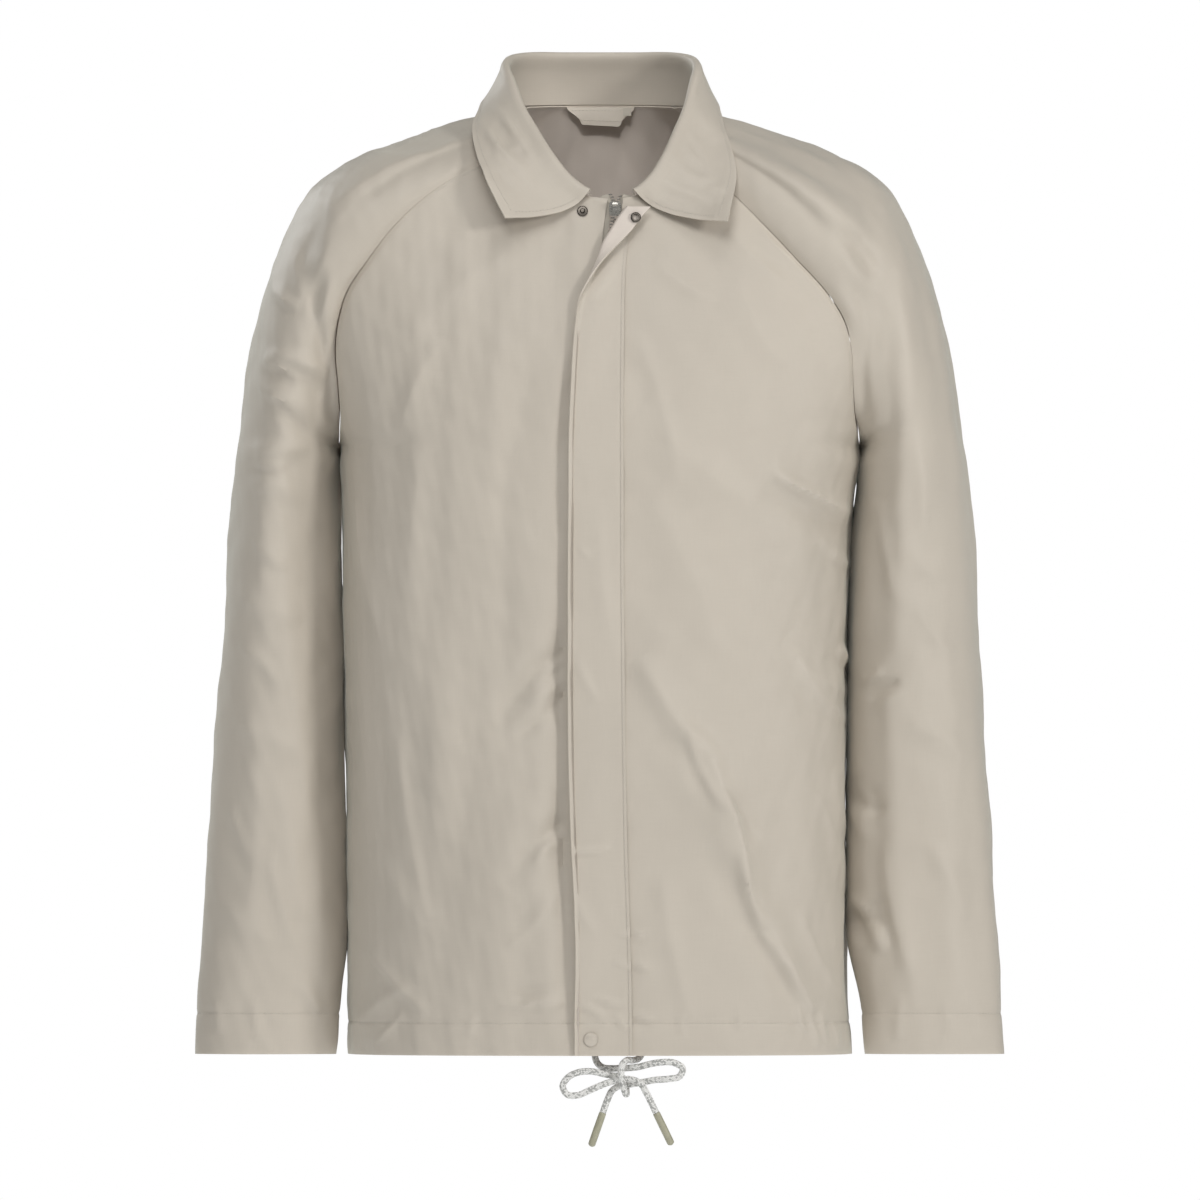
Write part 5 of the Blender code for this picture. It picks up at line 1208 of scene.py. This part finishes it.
def collar_grid():
    """The collar as one sheet: up the stand, over the roll and down the leaf.

    The stand and the leaf are quadratic curves and the roll is half a circle. At last the sheet is lifted
    off the shoulders.
    """
    lines = []
    for side in (-1, 1):
        key = COLLAR["angle"]
        roll = np.stack([side * COLLAR["roll_x"], COLLAR["roll_y"], COLLAR["roll_z"]], axis=-1)
        if side > 0:
            roll[:, 0] += 2.0 * FRONT_SHIFT * (key / 180.0) ** 3
        leaf_x = COLLAR["leaf_x"] if side < 0 else COLLAR["left_leaf_x"]
        leaf_z = COLLAR["leaf_z"] if side < 0 else COLLAR["left_leaf_z"]
        leaf = np.stack([side * leaf_x, COLLAR["leaf_y"], leaf_z], axis=-1)
        lines.append((neck_point(COLLAR_STATIONS, side), smooth_curve(roll, key, COLLAR_STATIONS),
                      smooth_curve(leaf, key, COLLAR_STATIONS)))
    neck, roll, leaf = (np.concatenate([a[::-1], b[1:]]) for a, b in zip(*lines))
    tangent = unit(np.gradient(roll, axis=0))

    def across(vector):
        """The part of a vector that stands across the collar's run."""
        return vector - tangent * np.sum(vector * tangent, axis=-1, keepdims=True)

    up = unit(across(unit(roll - neck) + unit(roll - leaf)))
    out = across(leaf - neck)
    out = unit(out - up * np.sum(out * up, axis=-1, keepdims=True))
    stand = np.linalg.norm(roll - neck, axis=-1, keepdims=True)
    radius = np.clip(0.4 * stand, ROLL_RADIUS_LEAST, ROLL_RADIUS)
    centre = roll - up * radius
    ends = np.abs(np.linspace(-1.0, 1.0, len(neck)))[:, None] ** 6
    rise = (0.1 + COLLAR_END_RISE * ends) * np.array([0.0, 0.0, 1.0])
    neck = neck + unit(roll - neck) * COLLAR_SEAT + rise
    inside, outside = centre - out * radius, centre + out * radius
    rows = []
    for t in (0.0, 0.35, 0.7):
        rows.append((1 - t) ** 2 * neck + 2 * t * (1 - t) * (inside - up * 0.4 * stand) + t ** 2 * inside)
    for angle in np.radians([180.0, 135.0, 90.0, 45.0]):
        rows.append(centre + radius * (out * math.cos(angle) + up * math.sin(angle)))
    fall = np.linalg.norm(leaf - outside, axis=-1, keepdims=True)
    for t in (0.0, 0.2, 0.45, 0.72, 1.0):
        rows.append((1 - t) ** 2 * outside + 2 * t * (1 - t) * (outside - up * 0.35 * fall) + t ** 2 * leaf)
    grid = np.stack(rows)
    normals = unit(np.cross(np.gradient(grid, axis=1), np.gradient(grid, axis=0)))
    normals *= 1.0 if normals[-1, grid.shape[1] // 2, 1] > 0.0 else -1.0
    tree = surface_tree([front_grid(-1), front_grid(1), back_grid(), sleeve_grid(-1), sleeve_grid(1)])
    free = np.full(grid.shape[:2], COLLAR_STAND_OFF)
    free[:LEAF_ROW + 1] = WALL
    for under in (grid - normals * WALL, grid):
        grid[ROLL_ROW:] += rest_above(under, tree, free)[ROLL_ROW:]
    return grid


def rest_above(points, tree, clearance):
    """How far points have to move, outwards from the surface, to clear it."""
    moved = points.copy()
    for point, free in zip(moved.reshape(-1, 3), np.broadcast_to(clearance, points.shape[:-1]).ravel()):
        for _ in range(5):
            spot, normal, _, _ = tree.find_nearest(Vector(point))
            if normal.dot(spot - Vector(BODY_HEART)) < 0.0:
                normal = -normal
            short = free - (Vector(point) - spot).dot(normal)
            if short > 0.0:
                point += np.array(normal) * short
    return moved - points


COLLAR_STITCH = 5.2     # from the collar's edge to its row of stitches
COLLAR_STEP = 1.9
COLLAR_COLUMNS = 220
COLLAR_CREASE = 1.7


def make_collar():
    """The collar's sheet refined, creased on its leaf only, with a groove along its stitches."""
    coarse = collar_grid()
    places = np.concatenate([[0.0], np.cumsum(np.linalg.norm(np.diff(coarse, axis=0), axis=-1).mean(axis=1))])
    rows = np.unique(np.concatenate([np.arange(0.0, places[-1], COLLAR_STEP), [places[-1]]]))
    grid = refine(coarse, places, rows, COLLAR_COLUMNS)
    normals = normals_of(grid)
    normals *= 1.0 if normals[-1, grid.shape[1] // 2, 1] > 0.0 else -1.0
    leaf = smooth_step((rows - places[LEAF_ROW]) / 8.0)[:, None]
    ends = np.minimum(edge_distance(grid, 0), edge_distance(grid, -1))
    edge = np.minimum(places[-1] - rows[:, None], ends)
    height = creases(COLLAR_CREASES, grid[..., 0], grid[..., 2]) * (grid[..., 1] < 20.0)
    slow = 0.5 * drift(grid, 60.0, 41) + 0.16 * drift(grid, 19.0, 42)
    move = (height * COLLAR_CREASE + slow) * leaf + groove(edge - COLLAR_STITCH, 0.25, 0.9)
    # Wear along the edges, and a painted highlight that makes the crests of the creases paler.
    wear_and_crest_highlight = 0.9 * np.exp(-edge / 1.2) + np.clip(height / 2.0, 0.0, 0.5)
    BUILT["collar"] = (grid + normals * np.maximum(move, -0.6)[..., None], normals, rows)
    panel("collar", wear_and_crest_highlight, wall=WALL)
    grid, normals, _ = BUILT["collar"]
    spot = int(np.argmin(np.abs(rows - (places[-1] - COLLAR_STITCH))))
    ends = slice(int(np.argmin(np.abs(rows - places[LEAF_ROW] - 4.0))), spot)
    stitched = [(grid[spot, 2:-2], normals[spot, 2:-2])]
    stitched += [(grid[ends, column], normals[ends, column]) for column in (2, -3)]
    stitched += [(grid[2, 8:-8] - normals[2, 8:-8] * WALL, -normals[2, 8:-8])]
    add_stitches("collar_stitching", stitched)


# Fly, zip and small pieces

FLY_CREASES = table(CREASE_COLUMNS, [
    (-20, -567, 9, -564, 1, 0.9, 2.6), (-6, -676, 18, -683, 1, 0.9, 2.4),
    (-17, -682, 4, -693, -1, 0.9, 2.6), (-18, -336, -6, -345, 1, 0.5, 3), (12, -628, 24, -630, 0, 0.6, 2.4),
    (10, -650, 24, -655, 0, 0.6, 2.4), (-16, -420, 0, -455, 2, 0.6, 4), (-10, -150, 14, -118, 3, 0.7, 5),
    (0, -300, 12, -420, 3, 0.5, 7), (-19, -600, -4, -628, 2, 0.5, 4), (12, -690, 22, -702, 1, 0.6, 2.4),
])
CLOSED_FRONTS = []


def front_surface(x, height):
    """Outer surface of the closed fronts at places of the front view."""
    if not CLOSED_FRONTS:
        CLOSED_FRONTS.append(surface_tree([front_grid(-1, clear=-1.0), front_grid(1, clear=-1.0)]))
    x, height = np.broadcast_arrays(np.asarray(x, dtype=float), np.asarray(height, dtype=float))
    places = np.stack([x, np.full_like(x, -400.0), height], axis=-1)
    flat = places.reshape(-1, 3)
    for place in flat:
        hit = CLOSED_FRONTS[0].ray_cast(Vector(place), Vector((0.0, 1.0, 0.0)))[0]
        if hit is None:
            hit = CLOSED_FRONTS[0].find_nearest(Vector((place[0], -100.0, place[2])))[0]
        place[1] = hit.y
    return flat.reshape(places.shape)


PLACKET_PLACES = np.concatenate([
    [HEM_HEIGHT, HEM_HEIGHT + HEM_DEPTH], np.linspace(-655.0, -215.0, 11),
    [-190.0, -168.0, -150.0, -134.0, -117.0, -106.0, -97.0, -88.0, -79.5],
])


def placket_grid():
    """The fly: flat on the wearer's left front, then its free edge rolls up and over as an arc."""
    columns = {key: read(PLACKET, key, "height", PLACKET_PLACES) for key in PLACKET}
    flat = np.linspace(0.0, 1.0, 5)
    x = columns["stitch"][:, None] + (columns["fold"] - columns["stitch"])[:, None] * flat
    near = front_surface(x, PLACKET_PLACES[:, None] + 0.0 * x)
    near[..., 1] -= WALL + PLACKET_SEAT + PLACKET_LIFT * smooth_step(flat)
    turn = np.radians(columns["turn"])[:, None] * np.linspace(0.25, 1.0, 4)
    radius = columns["radius"][:, None]
    arc = np.stack([-radius * np.sin(turn), -radius * (1.0 - np.cos(turn)), 0.0 * turn], axis=-1)
    roll = near[:, -1:] + arc
    last = turn[:, -1:]
    flap = columns["flap"][:, None] * np.array([0.5, 1.0])
    beyond = roll[:, -1:] + np.stack([-flap * np.cos(last), -flap * np.sin(last), 0.0 * flap], axis=-1)
    return np.concatenate([near, roll, beyond], axis=1)


FLY_STEP = 2.4
FLY_COLUMNS = 44
FLY_CREASE = 0.75       # its creases are a little lower than the panels'
SIDEWAYS = np.array([1.0, 0.0, 0.0])


def make_fly():
    """The fly refined and creased, its free edge swaying slowly sideways and grooved along its stitches."""
    coarse = placket_grid()
    rows = fine_rows(PLACKET_PLACES, HEM_HEIGHT + HEM_DEPTH, FLY_STEP)
    grid = refine(coarse, PLACKET_PLACES, rows, FLY_COLUMNS)
    normals = normals_of(grid)
    normals *= -1.0 if normals[len(rows) // 2, 4, 1] > 0.0 else 1.0
    free = edge_distance(grid, 0)
    height = creases(FLY_CREASES, grid[..., 0], grid[..., 2]) * smooth_step((-90.0 - grid[..., 2]) / 20.0)
    height *= FLY_CREASE * bpy.context.scene.jacket_cloth.crease
    slow = 0.4 * drift(grid, 62.0, 51) * smooth_step(free / 18.0) + 0.1 * drift(grid, 22.0, 52)
    move = height * smooth_step(free / 3.0) + slow * smooth_step(free / 4.0) + groove(free - 2.0, 0.3, 0.9)
    move += groove(grid[..., 2] - HEM_HEIGHT - HEM_DEPTH, 0.4, 1.3)
    sway = 0.9 * drift(grid[:, -1:], 130.0, 53) * smooth_step((free - 20.0) / 20.0)
    sway = sway * smooth_step((-130.0 - grid[..., 2]) / 60.0)
    grid = grid + sway[..., None] * SIDEWAYS
    edge = np.minimum(edge_distance(grid, -1), grid[..., 2] - HEM_HEIGHT)
    # Wear along the edges, and a painted highlight that makes the crests of the creases paler.
    wear_and_crest_highlight = 0.8 * np.exp(-edge / 1.4) + np.clip(height / 2.0, 0.0, 0.5)
    BUILT["fly_placket"] = (grid + normals * np.maximum(move, -0.5)[..., None], normals, rows)
    panel("fly_placket", wear_and_crest_highlight, wall=WALL)
    grid, normals, rows = BUILT["fly_placket"]
    low = rows <= -97.0
    hem = int(np.argmin(np.abs(rows - HEM_HEIGHT - HEM_DEPTH)))
    share = STITCH_INSET / np.linalg.norm(grid[:, 2] - grid[:, 0], axis=-1, keepdims=True)
    line = grid[:, 0] + (grid[:, 2] - grid[:, 0]) * share
    add_stitches("fly_stitching", [(line[low], normals[low, 1]), (grid[hem, 1:30], normals[hem, 1:30])])


def zip_line(heights, sideways, deeper):
    """Points along the zip, moved sideways from its middle and behind the fronts' outer surface."""
    points = front_surface(read(ZIP, "middle", "height", heights) + sideways, heights)
    points[..., 1] += deeper
    return points


TOOTH_WIDTH, TOOTH_HEIGHT, TOOTH_DEPTH = 3.0, 1.15, 2.0
OPEN_SPREAD = 0.62      # how far the open tapes part for each millimetre above the slider
OPEN_TOP = -69.6
TAPE_WALL = 0.8
TOOTH_SHARP = 30        # degrees past which an edge of a tooth stays sharp
FORWARD = (0.0, -1.0, 0.0)


def open_side(side, heights):
    """The inner edge of an open tape above the slider, leaning away from the zip's middle."""
    line = zip_line(heights, side * 1.2, HEM_WALL + 0.3)
    line[:, 0] += side * OPEN_SPREAD * (heights - SLIDER_Z - SLIDER_HEIGHT / 2)
    return line


def make_zip():
    """Teeth in two rows, one half step apart where they are closed, each a small rounded block."""
    pitch = bpy.context.scene.jacket_trim.teeth_pitch / MM
    foot = SLIDER_Z - SLIDER_HEIGHT / 2 - 0.8
    shape = np.array([
        (-1, -0.55), (-0.55, -1), (0.55, -1), (1, -0.55), (1, 0.55), (0.55, 1), (-0.55, 1), (-1, 0.55),
    ])
    x, z = (shape * (TOOTH_WIDTH / 2, TOOTH_HEIGHT / 2)).T
    outline = np.stack([x, 0.0 * x, z], axis=-1)
    block = np.concatenate([outline * 0.8 + (0, -TOOTH_DEPTH / 2, 0), outline + (0, -TOOTH_DEPTH / 4, 0),
                            outline + (0, TOOTH_DEPTH / 4, 0), outline * 0.8 + (0, TOOTH_DEPTH / 2, 0)])
    sides = grid_faces(4, 9, wrap=False)
    sides = np.where(sides % 9 == 8, sides - 8, sides)
    sides = sides // 9 * 8 + sides % 9
    fans = np.array([(0, 1, 2, 3), (0, 3, 4, 7), (7, 4, 5, 6)])
    faces = np.concatenate([sides, fans[:, ::-1], fans + 24])
    spots = []
    for side, start in ((-1, 0.0), (1, pitch / 2)):
        closed = zip_line(np.arange(HEM_HEIGHT + 4.0 + start, foot, pitch), side * 1.25, HEM_WALL + 0.3 + 0.5)
        raised = np.arange(SLIDER_Z + SLIDER_HEIGHT / 2 + 0.9 + start / 2, OPEN_TOP, pitch * 0.8)
        spots += [closed, open_side(side, raised) + (0.0, 0.2, 0.0)]
    spots = np.concatenate(spots)
    points = (spots[:, None] + block[None]).reshape(-1, 3)
    all_faces = (faces[None] + np.arange(len(spots))[:, None, None] * len(block)).reshape(-1, 4)
    piece = add_piece("zip_teeth_rows", points, all_faces, [finish("nickel")], smooth=TOOTH_SHARP)
    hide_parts("zip_teeth")
    heights = np.linspace(-78.0, OPEN_TOP, 8)
    for side, name in ((-1, "right"), (1, "left")):
        inner = open_side(side, heights) + (side * 1.2, 0.3, 0.0)
        band = np.stack([inner + (side * x, 0.02 * x, -0.25 * x) for x in np.linspace(0.0, 6.0, 6)], axis=1)
        away = np.zeros_like(band) + FORWARD
        top = add_cloth(f"zip_tape_top_{name}", band, away, [finish("tape")] * 2, TAPE_WALL)
    for name in ("zip_tape_right", "zip_tape_left"):
        refinish(name, "tape")
    for name in ("zip_slider", "zip_pull"):
        refinish(name, "nickel")


def make_snaps():
    """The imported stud, socket and cap take their metal and lacquer."""
    for name in ("snap_stud_top", "snap_socket_top"):
        refinish(name, "dark_nickel")
    refinish("snap_cap_hem", "cap")


HANGER_WALL = 1.1
TAB_WALL = 0.6
TAB_TOP, TAB_FOOT = -2.4, -8.2


def make_hanger():
    """Hanging loop: a band hanging inside the back neck, wide above and narrow below, and a plain tab."""
    down = np.linspace(0.0, 1.0, 12)[:, None]
    share = np.linspace(-1.0, 1.0, 60)[None, :]
    x = 0.5 + (25.8 - 10.3 * smooth_step(down)) * share
    round_off = 1.0 - 0.18 * np.clip((np.abs(share) - 0.86) / 0.14, 0.0, 1.0) ** 2
    z = -1.6 - 14.1 * down * round_off - 0.8 * down * share
    back = NECK_CENTRE_Y + NECK_HALF_DEPTH * np.cos(np.arcsin(x / NECK_HALF_WIDTH))
    y = back - 1.9 - 1.5 * down - 0.5 * np.sin(np.pi * down)
    grid = np.stack(np.broadcast_arrays(x, y, z), axis=-1)
    normals = np.zeros_like(grid) + FORWARD
    wear_and_crest_highlight = 0.8 * np.exp(-np.minimum(edge_distance(grid, 0), edge_distance(grid, -1)))
    BUILT["hanger_loop"] = (grid, normals, down[:, 0])
    panel("hanger_loop", wear_and_crest_highlight, wall=HANGER_WALL)
    tab_x = np.linspace(17.5, 23.8, 10)[None, :]
    tab_z = np.linspace(TAB_TOP, TAB_FOOT, 8)[:, None]
    tab_y = NECK_CENTRE_Y + NECK_HALF_DEPTH * np.cos(np.arcsin(tab_x / NECK_HALF_WIDTH))
    tab_y = tab_y - 3.3 - 0.112 * (TAB_TOP - tab_z)
    tab = np.stack(np.broadcast_arrays(tab_x, tab_y, tab_z), axis=-1)
    forward = np.zeros_like(tab) + FORWARD
    piece = add_cloth("size_tab_plain_cloth", tab, forward, [finish("tape")] * 2, TAB_WALL)
    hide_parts("size_tab_plain")
    line = grid[8, 3:-3]
    add_stitches("hanger_stitching", [(line, normals[8, 3:-3]), (grid[2, 3:-3], normals[2, 3:-3])])


def make_seams():
    """Stitched lines of hem, cuffs and raglan seams."""
    hem, cuff = HEM_HEIGHT + HEM_DEPTH, HEM_HEIGHT + CUFF_DEPTH
    rows = [row_at(name, hem) for name in ("front_right", "front_left", "back")]
    rows += [row_at(name, cuff) for name in ("sleeve_right", "sleeve_left")]
    add_stitches("hem_stitching", rows)
    lines = [beside_edge(name, -1, STITCH_INSET, UNDERARM) for name in ("front_right", "front_left")]
    lines += [beside_edge("back", column, STITCH_INSET, UNDERARM) for column in (0, -1)]
    add_stitches("raglan_stitching", lines)


# Drawcord

CORD_STEP = 0.5
CORD_SIDES = 40
TIP_SIDES = 28


def make_cord(name, route, tip_name):
    """A braided tube along its route and its dipped tip.

    The strands are low ridges: the product of two sines that cross as the braid does.
    """
    trim = bpy.context.scene.jacket_trim
    radius = trim.cord / 2.0 / MM
    route = np.asarray(route, dtype=float)
    chord = np.concatenate([[0.0], np.cumsum(np.linalg.norm(np.diff(route, axis=0), axis=1))])
    path, length = even_run(smooth_curve(route, chord, np.linspace(0.0, chord[-1], 900)), CORD_STEP)
    turn = np.linspace(0.0, BRAID_AROUND, CORD_SIDES + 1)[None, :]
    run = np.linspace(0.0, length / (BRAID_PITCH / MM), len(path))[:, None]
    strands = np.abs(np.sin(np.pi * (turn + run)) * np.sin(np.pi * (turn - run)))
    piece = add_tube(name + "_braid", path, radius * (0.97 + 0.05 * strands), CORD_SIDES, [finish("cord")])
    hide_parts(name)
    ahead = unit(path[-1] - path[-3])
    share = np.linspace(0.0, 1.0, 26)
    run = trim.tip / MM * share
    rounded = np.sqrt(1.0 - np.clip((share - 0.93) / 0.075, 0, 1) ** 2)
    swell = radius * (1.10 + 0.03 * np.sin(np.pi * share)) * rounded
    swell[0] = radius * 1.02
    dipped = path[-1] + ahead * (0.25 + run[:, None])
    tip = add_tube(tip_name + "_coat", dipped, swell, TIP_SIDES, [finish("tip")])
    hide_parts(tip_name)


# Stage

def make_camera():
    """A level camera straight in front, far away, with a lens that frames the given width."""
    stage = bpy.context.scene.jacket_stage
    lens = bpy.data.cameras.new("camera")
    lens.sensor_width = 36.0
    lens.lens = lens.sensor_width * stage.distance / stage.framed
    lens.clip_end = 100.0
    camera = bpy.data.objects.new("camera", lens)
    camera.location = (0.0, -stage.distance, stage.height)
    camera.rotation_euler = (math.pi / 2.0, 0.0, 0.0)
    bpy.context.scene.collection.objects.link(camera)
    bpy.context.scene.camera = camera


def add_lamp(light, place, target):
    """Put a light at a place, facing another."""
    lamp = bpy.data.objects.new(light.name, light)
    lamp.location = place
    lamp.rotation_euler = (Vector(target) - Vector(place)).to_track_quat("-Z", "Y").to_euler()
    bpy.context.scene.collection.objects.link(lamp)


MIDDLE = (0.0, 0.0, -0.36)              # what the area lights face
AREA_LIGHTS = (                         # name, place, size and colour
    ("key", (3.0, -3.0, 0.9), 0.8, (1.0, 0.99, 0.975)),
    ("fill", (-0.5, -3.4, 2.5), 1.6, (0.99, 0.995, 1.0)),
    ("back", (-2.6, 3.2, 1.4), 1.2, (1.0, 1.0, 1.0)),
    ("top", (0.4, -1.5, 3.0), 1.4, (1.0, 1.0, 1.0)),
)
BACK_SHARE = 0.8                        # of the key light's power
NECK_LIGHT, NECK_TARGET = (0.04, -1.6, 1.0), (0.0, 0.09, -0.055)
NECK_CONE = 3.6                         # degrees
FLOOR_HALF = 10.0


def make_stage():
    """Pale floor far below, white surroundings, a soft key from the viewer's right and a wide front fill."""
    scene = bpy.context.scene
    stage = scene.jacket_stage
    scene.view_settings.view_transform = "Standard"
    world = bpy.data.worlds.new("white")
    world.use_nodes = True
    scene.world = world
    tree = world.node_tree
    seen = tree.nodes["Background"]
    seen.inputs["Color"].default_value = (1.0, 1.0, 1.0, 1.0)
    lit = node(tree, "Background", {"Color": (0.97, 0.99, 1.0, 1.0), "Strength": stage.sky})
    ray = node(tree, "LightPath").outputs["Is Camera Ray"]
    mix = node(tree, "MixShader", {0: ray, 1: lit.outputs[0], 2: seen.outputs[0]})
    tree.links.new(mix.outputs[0], tree.nodes["World Output"].inputs[0])
    powers = {"key": stage.key, "fill": stage.fill, "back": stage.key * BACK_SHARE, "top": stage.top}
    for name, place, size, colour in AREA_LIGHTS:
        light = bpy.data.lights.new(name, "AREA")
        light.size = size
        light.color = colour
        light.energy = powers[name]
        add_lamp(light, place, MIDDLE)
    cone = bpy.data.lights.new("neck", "SPOT")
    cone.energy = stage.neck
    cone.spot_size = math.radians(NECK_CONE)
    cone.spot_blend = 0.8
    cone.shadow_soft_size = 0.04
    add_lamp(cone, NECK_LIGHT, NECK_TARGET)
    corners = np.array([(-1.0, -1.0, 0.0), (1.0, -1.0, 0.0), (1.0, 1.0, 0.0), (-1.0, 1.0, 0.0)]) * FLOOR_HALF
    corners[:, 2] = stage.floor
    plaster, tree, shader = finish_of("floor_plaster", "cloth", 0.9, emission_color=(0.95, 0.97, 1.0, 1.0),
                                      emission_strength=0.4)
    spot = node(tree, "TexCoord").outputs["Object"]
    pale = mixed(tree, noise(tree, spot, 2.0), (0.84, 0.84, 0.83), (0.88, 0.88, 0.87))
    tree.links.new(pale, shader.inputs["Base Color"])
    mesh = bpy.data.meshes.new("floor")
    mesh.from_pydata(corners.tolist(), [], [(0, 1, 2, 3)])
    mesh.materials.append(plaster)
    floor = bpy.data.objects.new("floor", mesh)
    scene.collection.objects.link(floor)


# Operators: one for each piece or group of like pieces

class JACKET_OT_camera(bpy.types.Operator):
    """Place the camera as the jacket was photographed."""

    bl_idname = "jacket.camera"
    bl_label = "Camera"

    def execute(self, context):
        make_camera()
        return {"FINISHED"}


class JACKET_OT_drawcord(bpy.types.Operator):
    """Braid the two ends of the drawcord, tied in a bow, with their dipped tips."""

    bl_idname = "jacket.drawcord"
    bl_label = "Drawcord"

    def execute(self, context):
        make_cord("cord_right", CORD_RIGHT_ROUTE, "cord_tip_right")
        make_cord("cord_left", CORD_LEFT_ROUTE, "cord_tip_left")
        return {"FINISHED"}


class JACKET_OT_fronts(bpy.types.Operator):
    """Make both fronts with their creases, hem channel and raglan edges."""

    bl_idname = "jacket.fronts"
    bl_label = "Fronts"

    def execute(self, context):
        make_front(-1)
        make_front(1)
        return {"FINISHED"}


class JACKET_OT_back(bpy.types.Operator):
    """Make the back."""

    bl_idname = "jacket.back"
    bl_label = "Back"

    def execute(self, context):
        make_back()
        return {"FINISHED"}


class JACKET_OT_sleeves(bpy.types.Operator):
    """Make both raglan sleeves with their cuffs."""

    bl_idname = "jacket.sleeves"
    bl_label = "Sleeves"

    def execute(self, context):
        make_sleeve(-1)
        make_sleeve(1)
        return {"FINISHED"}


class JACKET_OT_seams(bpy.types.Operator):
    """Sew hem, cuffs and raglan seams."""

    bl_idname = "jacket.seams"
    bl_label = "Seams"

    def execute(self, context):
        make_seams()
        return {"FINISHED"}


class JACKET_OT_collar(bpy.types.Operator):
    """Make the turned-down collar with its edge stitching."""

    bl_idname = "jacket.collar"
    bl_label = "Collar"

    def execute(self, context):
        make_collar()
        return {"FINISHED"}


class JACKET_OT_fly(bpy.types.Operator):
    """Make the fly placket over the zip."""

    bl_idname = "jacket.fly"
    bl_label = "Fly"

    def execute(self, context):
        make_fly()
        return {"FINISHED"}


class JACKET_OT_zip(bpy.types.Operator):
    """Make the zip's teeth and tapes and finish its slider and pull."""

    bl_idname = "jacket.zip"
    bl_label = "Zip"

    def execute(self, context):
        make_zip()
        return {"FINISHED"}


class JACKET_OT_snaps(bpy.types.Operator):
    """Finish the snaps of neck and hem."""

    bl_idname = "jacket.snaps"
    bl_label = "Snaps"

    def execute(self, context):
        make_snaps()
        return {"FINISHED"}


class JACKET_OT_hanger(bpy.types.Operator):
    """Make the hanging loop and the plain tab inside the neck."""

    bl_idname = "jacket.hanger"
    bl_label = "Hanging loop"

    def execute(self, context):
        make_hanger()
        return {"FINISHED"}


class JACKET_OT_stage(bpy.types.Operator):
    """Set the floor, the surroundings and the lights."""

    bl_idname = "jacket.stage"
    bl_label = "Stage"

    def execute(self, context):
        make_stage()
        return {"FINISHED"}


ORDER = (JACKET_OT_camera, JACKET_OT_drawcord, JACKET_OT_fronts, JACKET_OT_back, JACKET_OT_sleeves,
         JACKET_OT_seams, JACKET_OT_collar, JACKET_OT_fly, JACKET_OT_zip, JACKET_OT_snaps, JACKET_OT_hanger,
         JACKET_OT_stage)


class JACKET_PT_panel(bpy.types.Panel):
    """All the settings and pieces of the jacket."""

    bl_idname = "JACKET_PT_panel"
    bl_label = "Coach jacket"
    bl_space_type = "VIEW_3D"
    bl_region_type = "UI"
    bl_category = "Jacket"

    def draw(self, context):
        for group in (context.scene.jacket_cloth, context.scene.jacket_trim, context.scene.jacket_stage):
            box = self.layout.box()
            for key in group.__annotations__:
                box.prop(group, key)
        for operator in ORDER:
            self.layout.operator(operator.bl_idname)


CLASSES = (JacketCloth, JacketTrim, JacketStage, *ORDER, JACKET_PT_panel)


def register():
    for one in CLASSES:
        bpy.utils.register_class(one)
    bpy.types.Scene.jacket_cloth = PointerProperty(type=JacketCloth)
    bpy.types.Scene.jacket_trim = PointerProperty(type=JacketTrim)
    bpy.types.Scene.jacket_stage = PointerProperty(type=JacketStage)


def unregister():
    del bpy.types.Scene.jacket_stage
    del bpy.types.Scene.jacket_trim
    del bpy.types.Scene.jacket_cloth
    for one in reversed(CLASSES):
        bpy.utils.unregister_class(one)


def main():
    register()
    for operator in ORDER:
        group, name = operator.bl_idname.split(".")
        getattr(getattr(bpy.ops, group), name)()


if __name__ == "__main__":
    main()
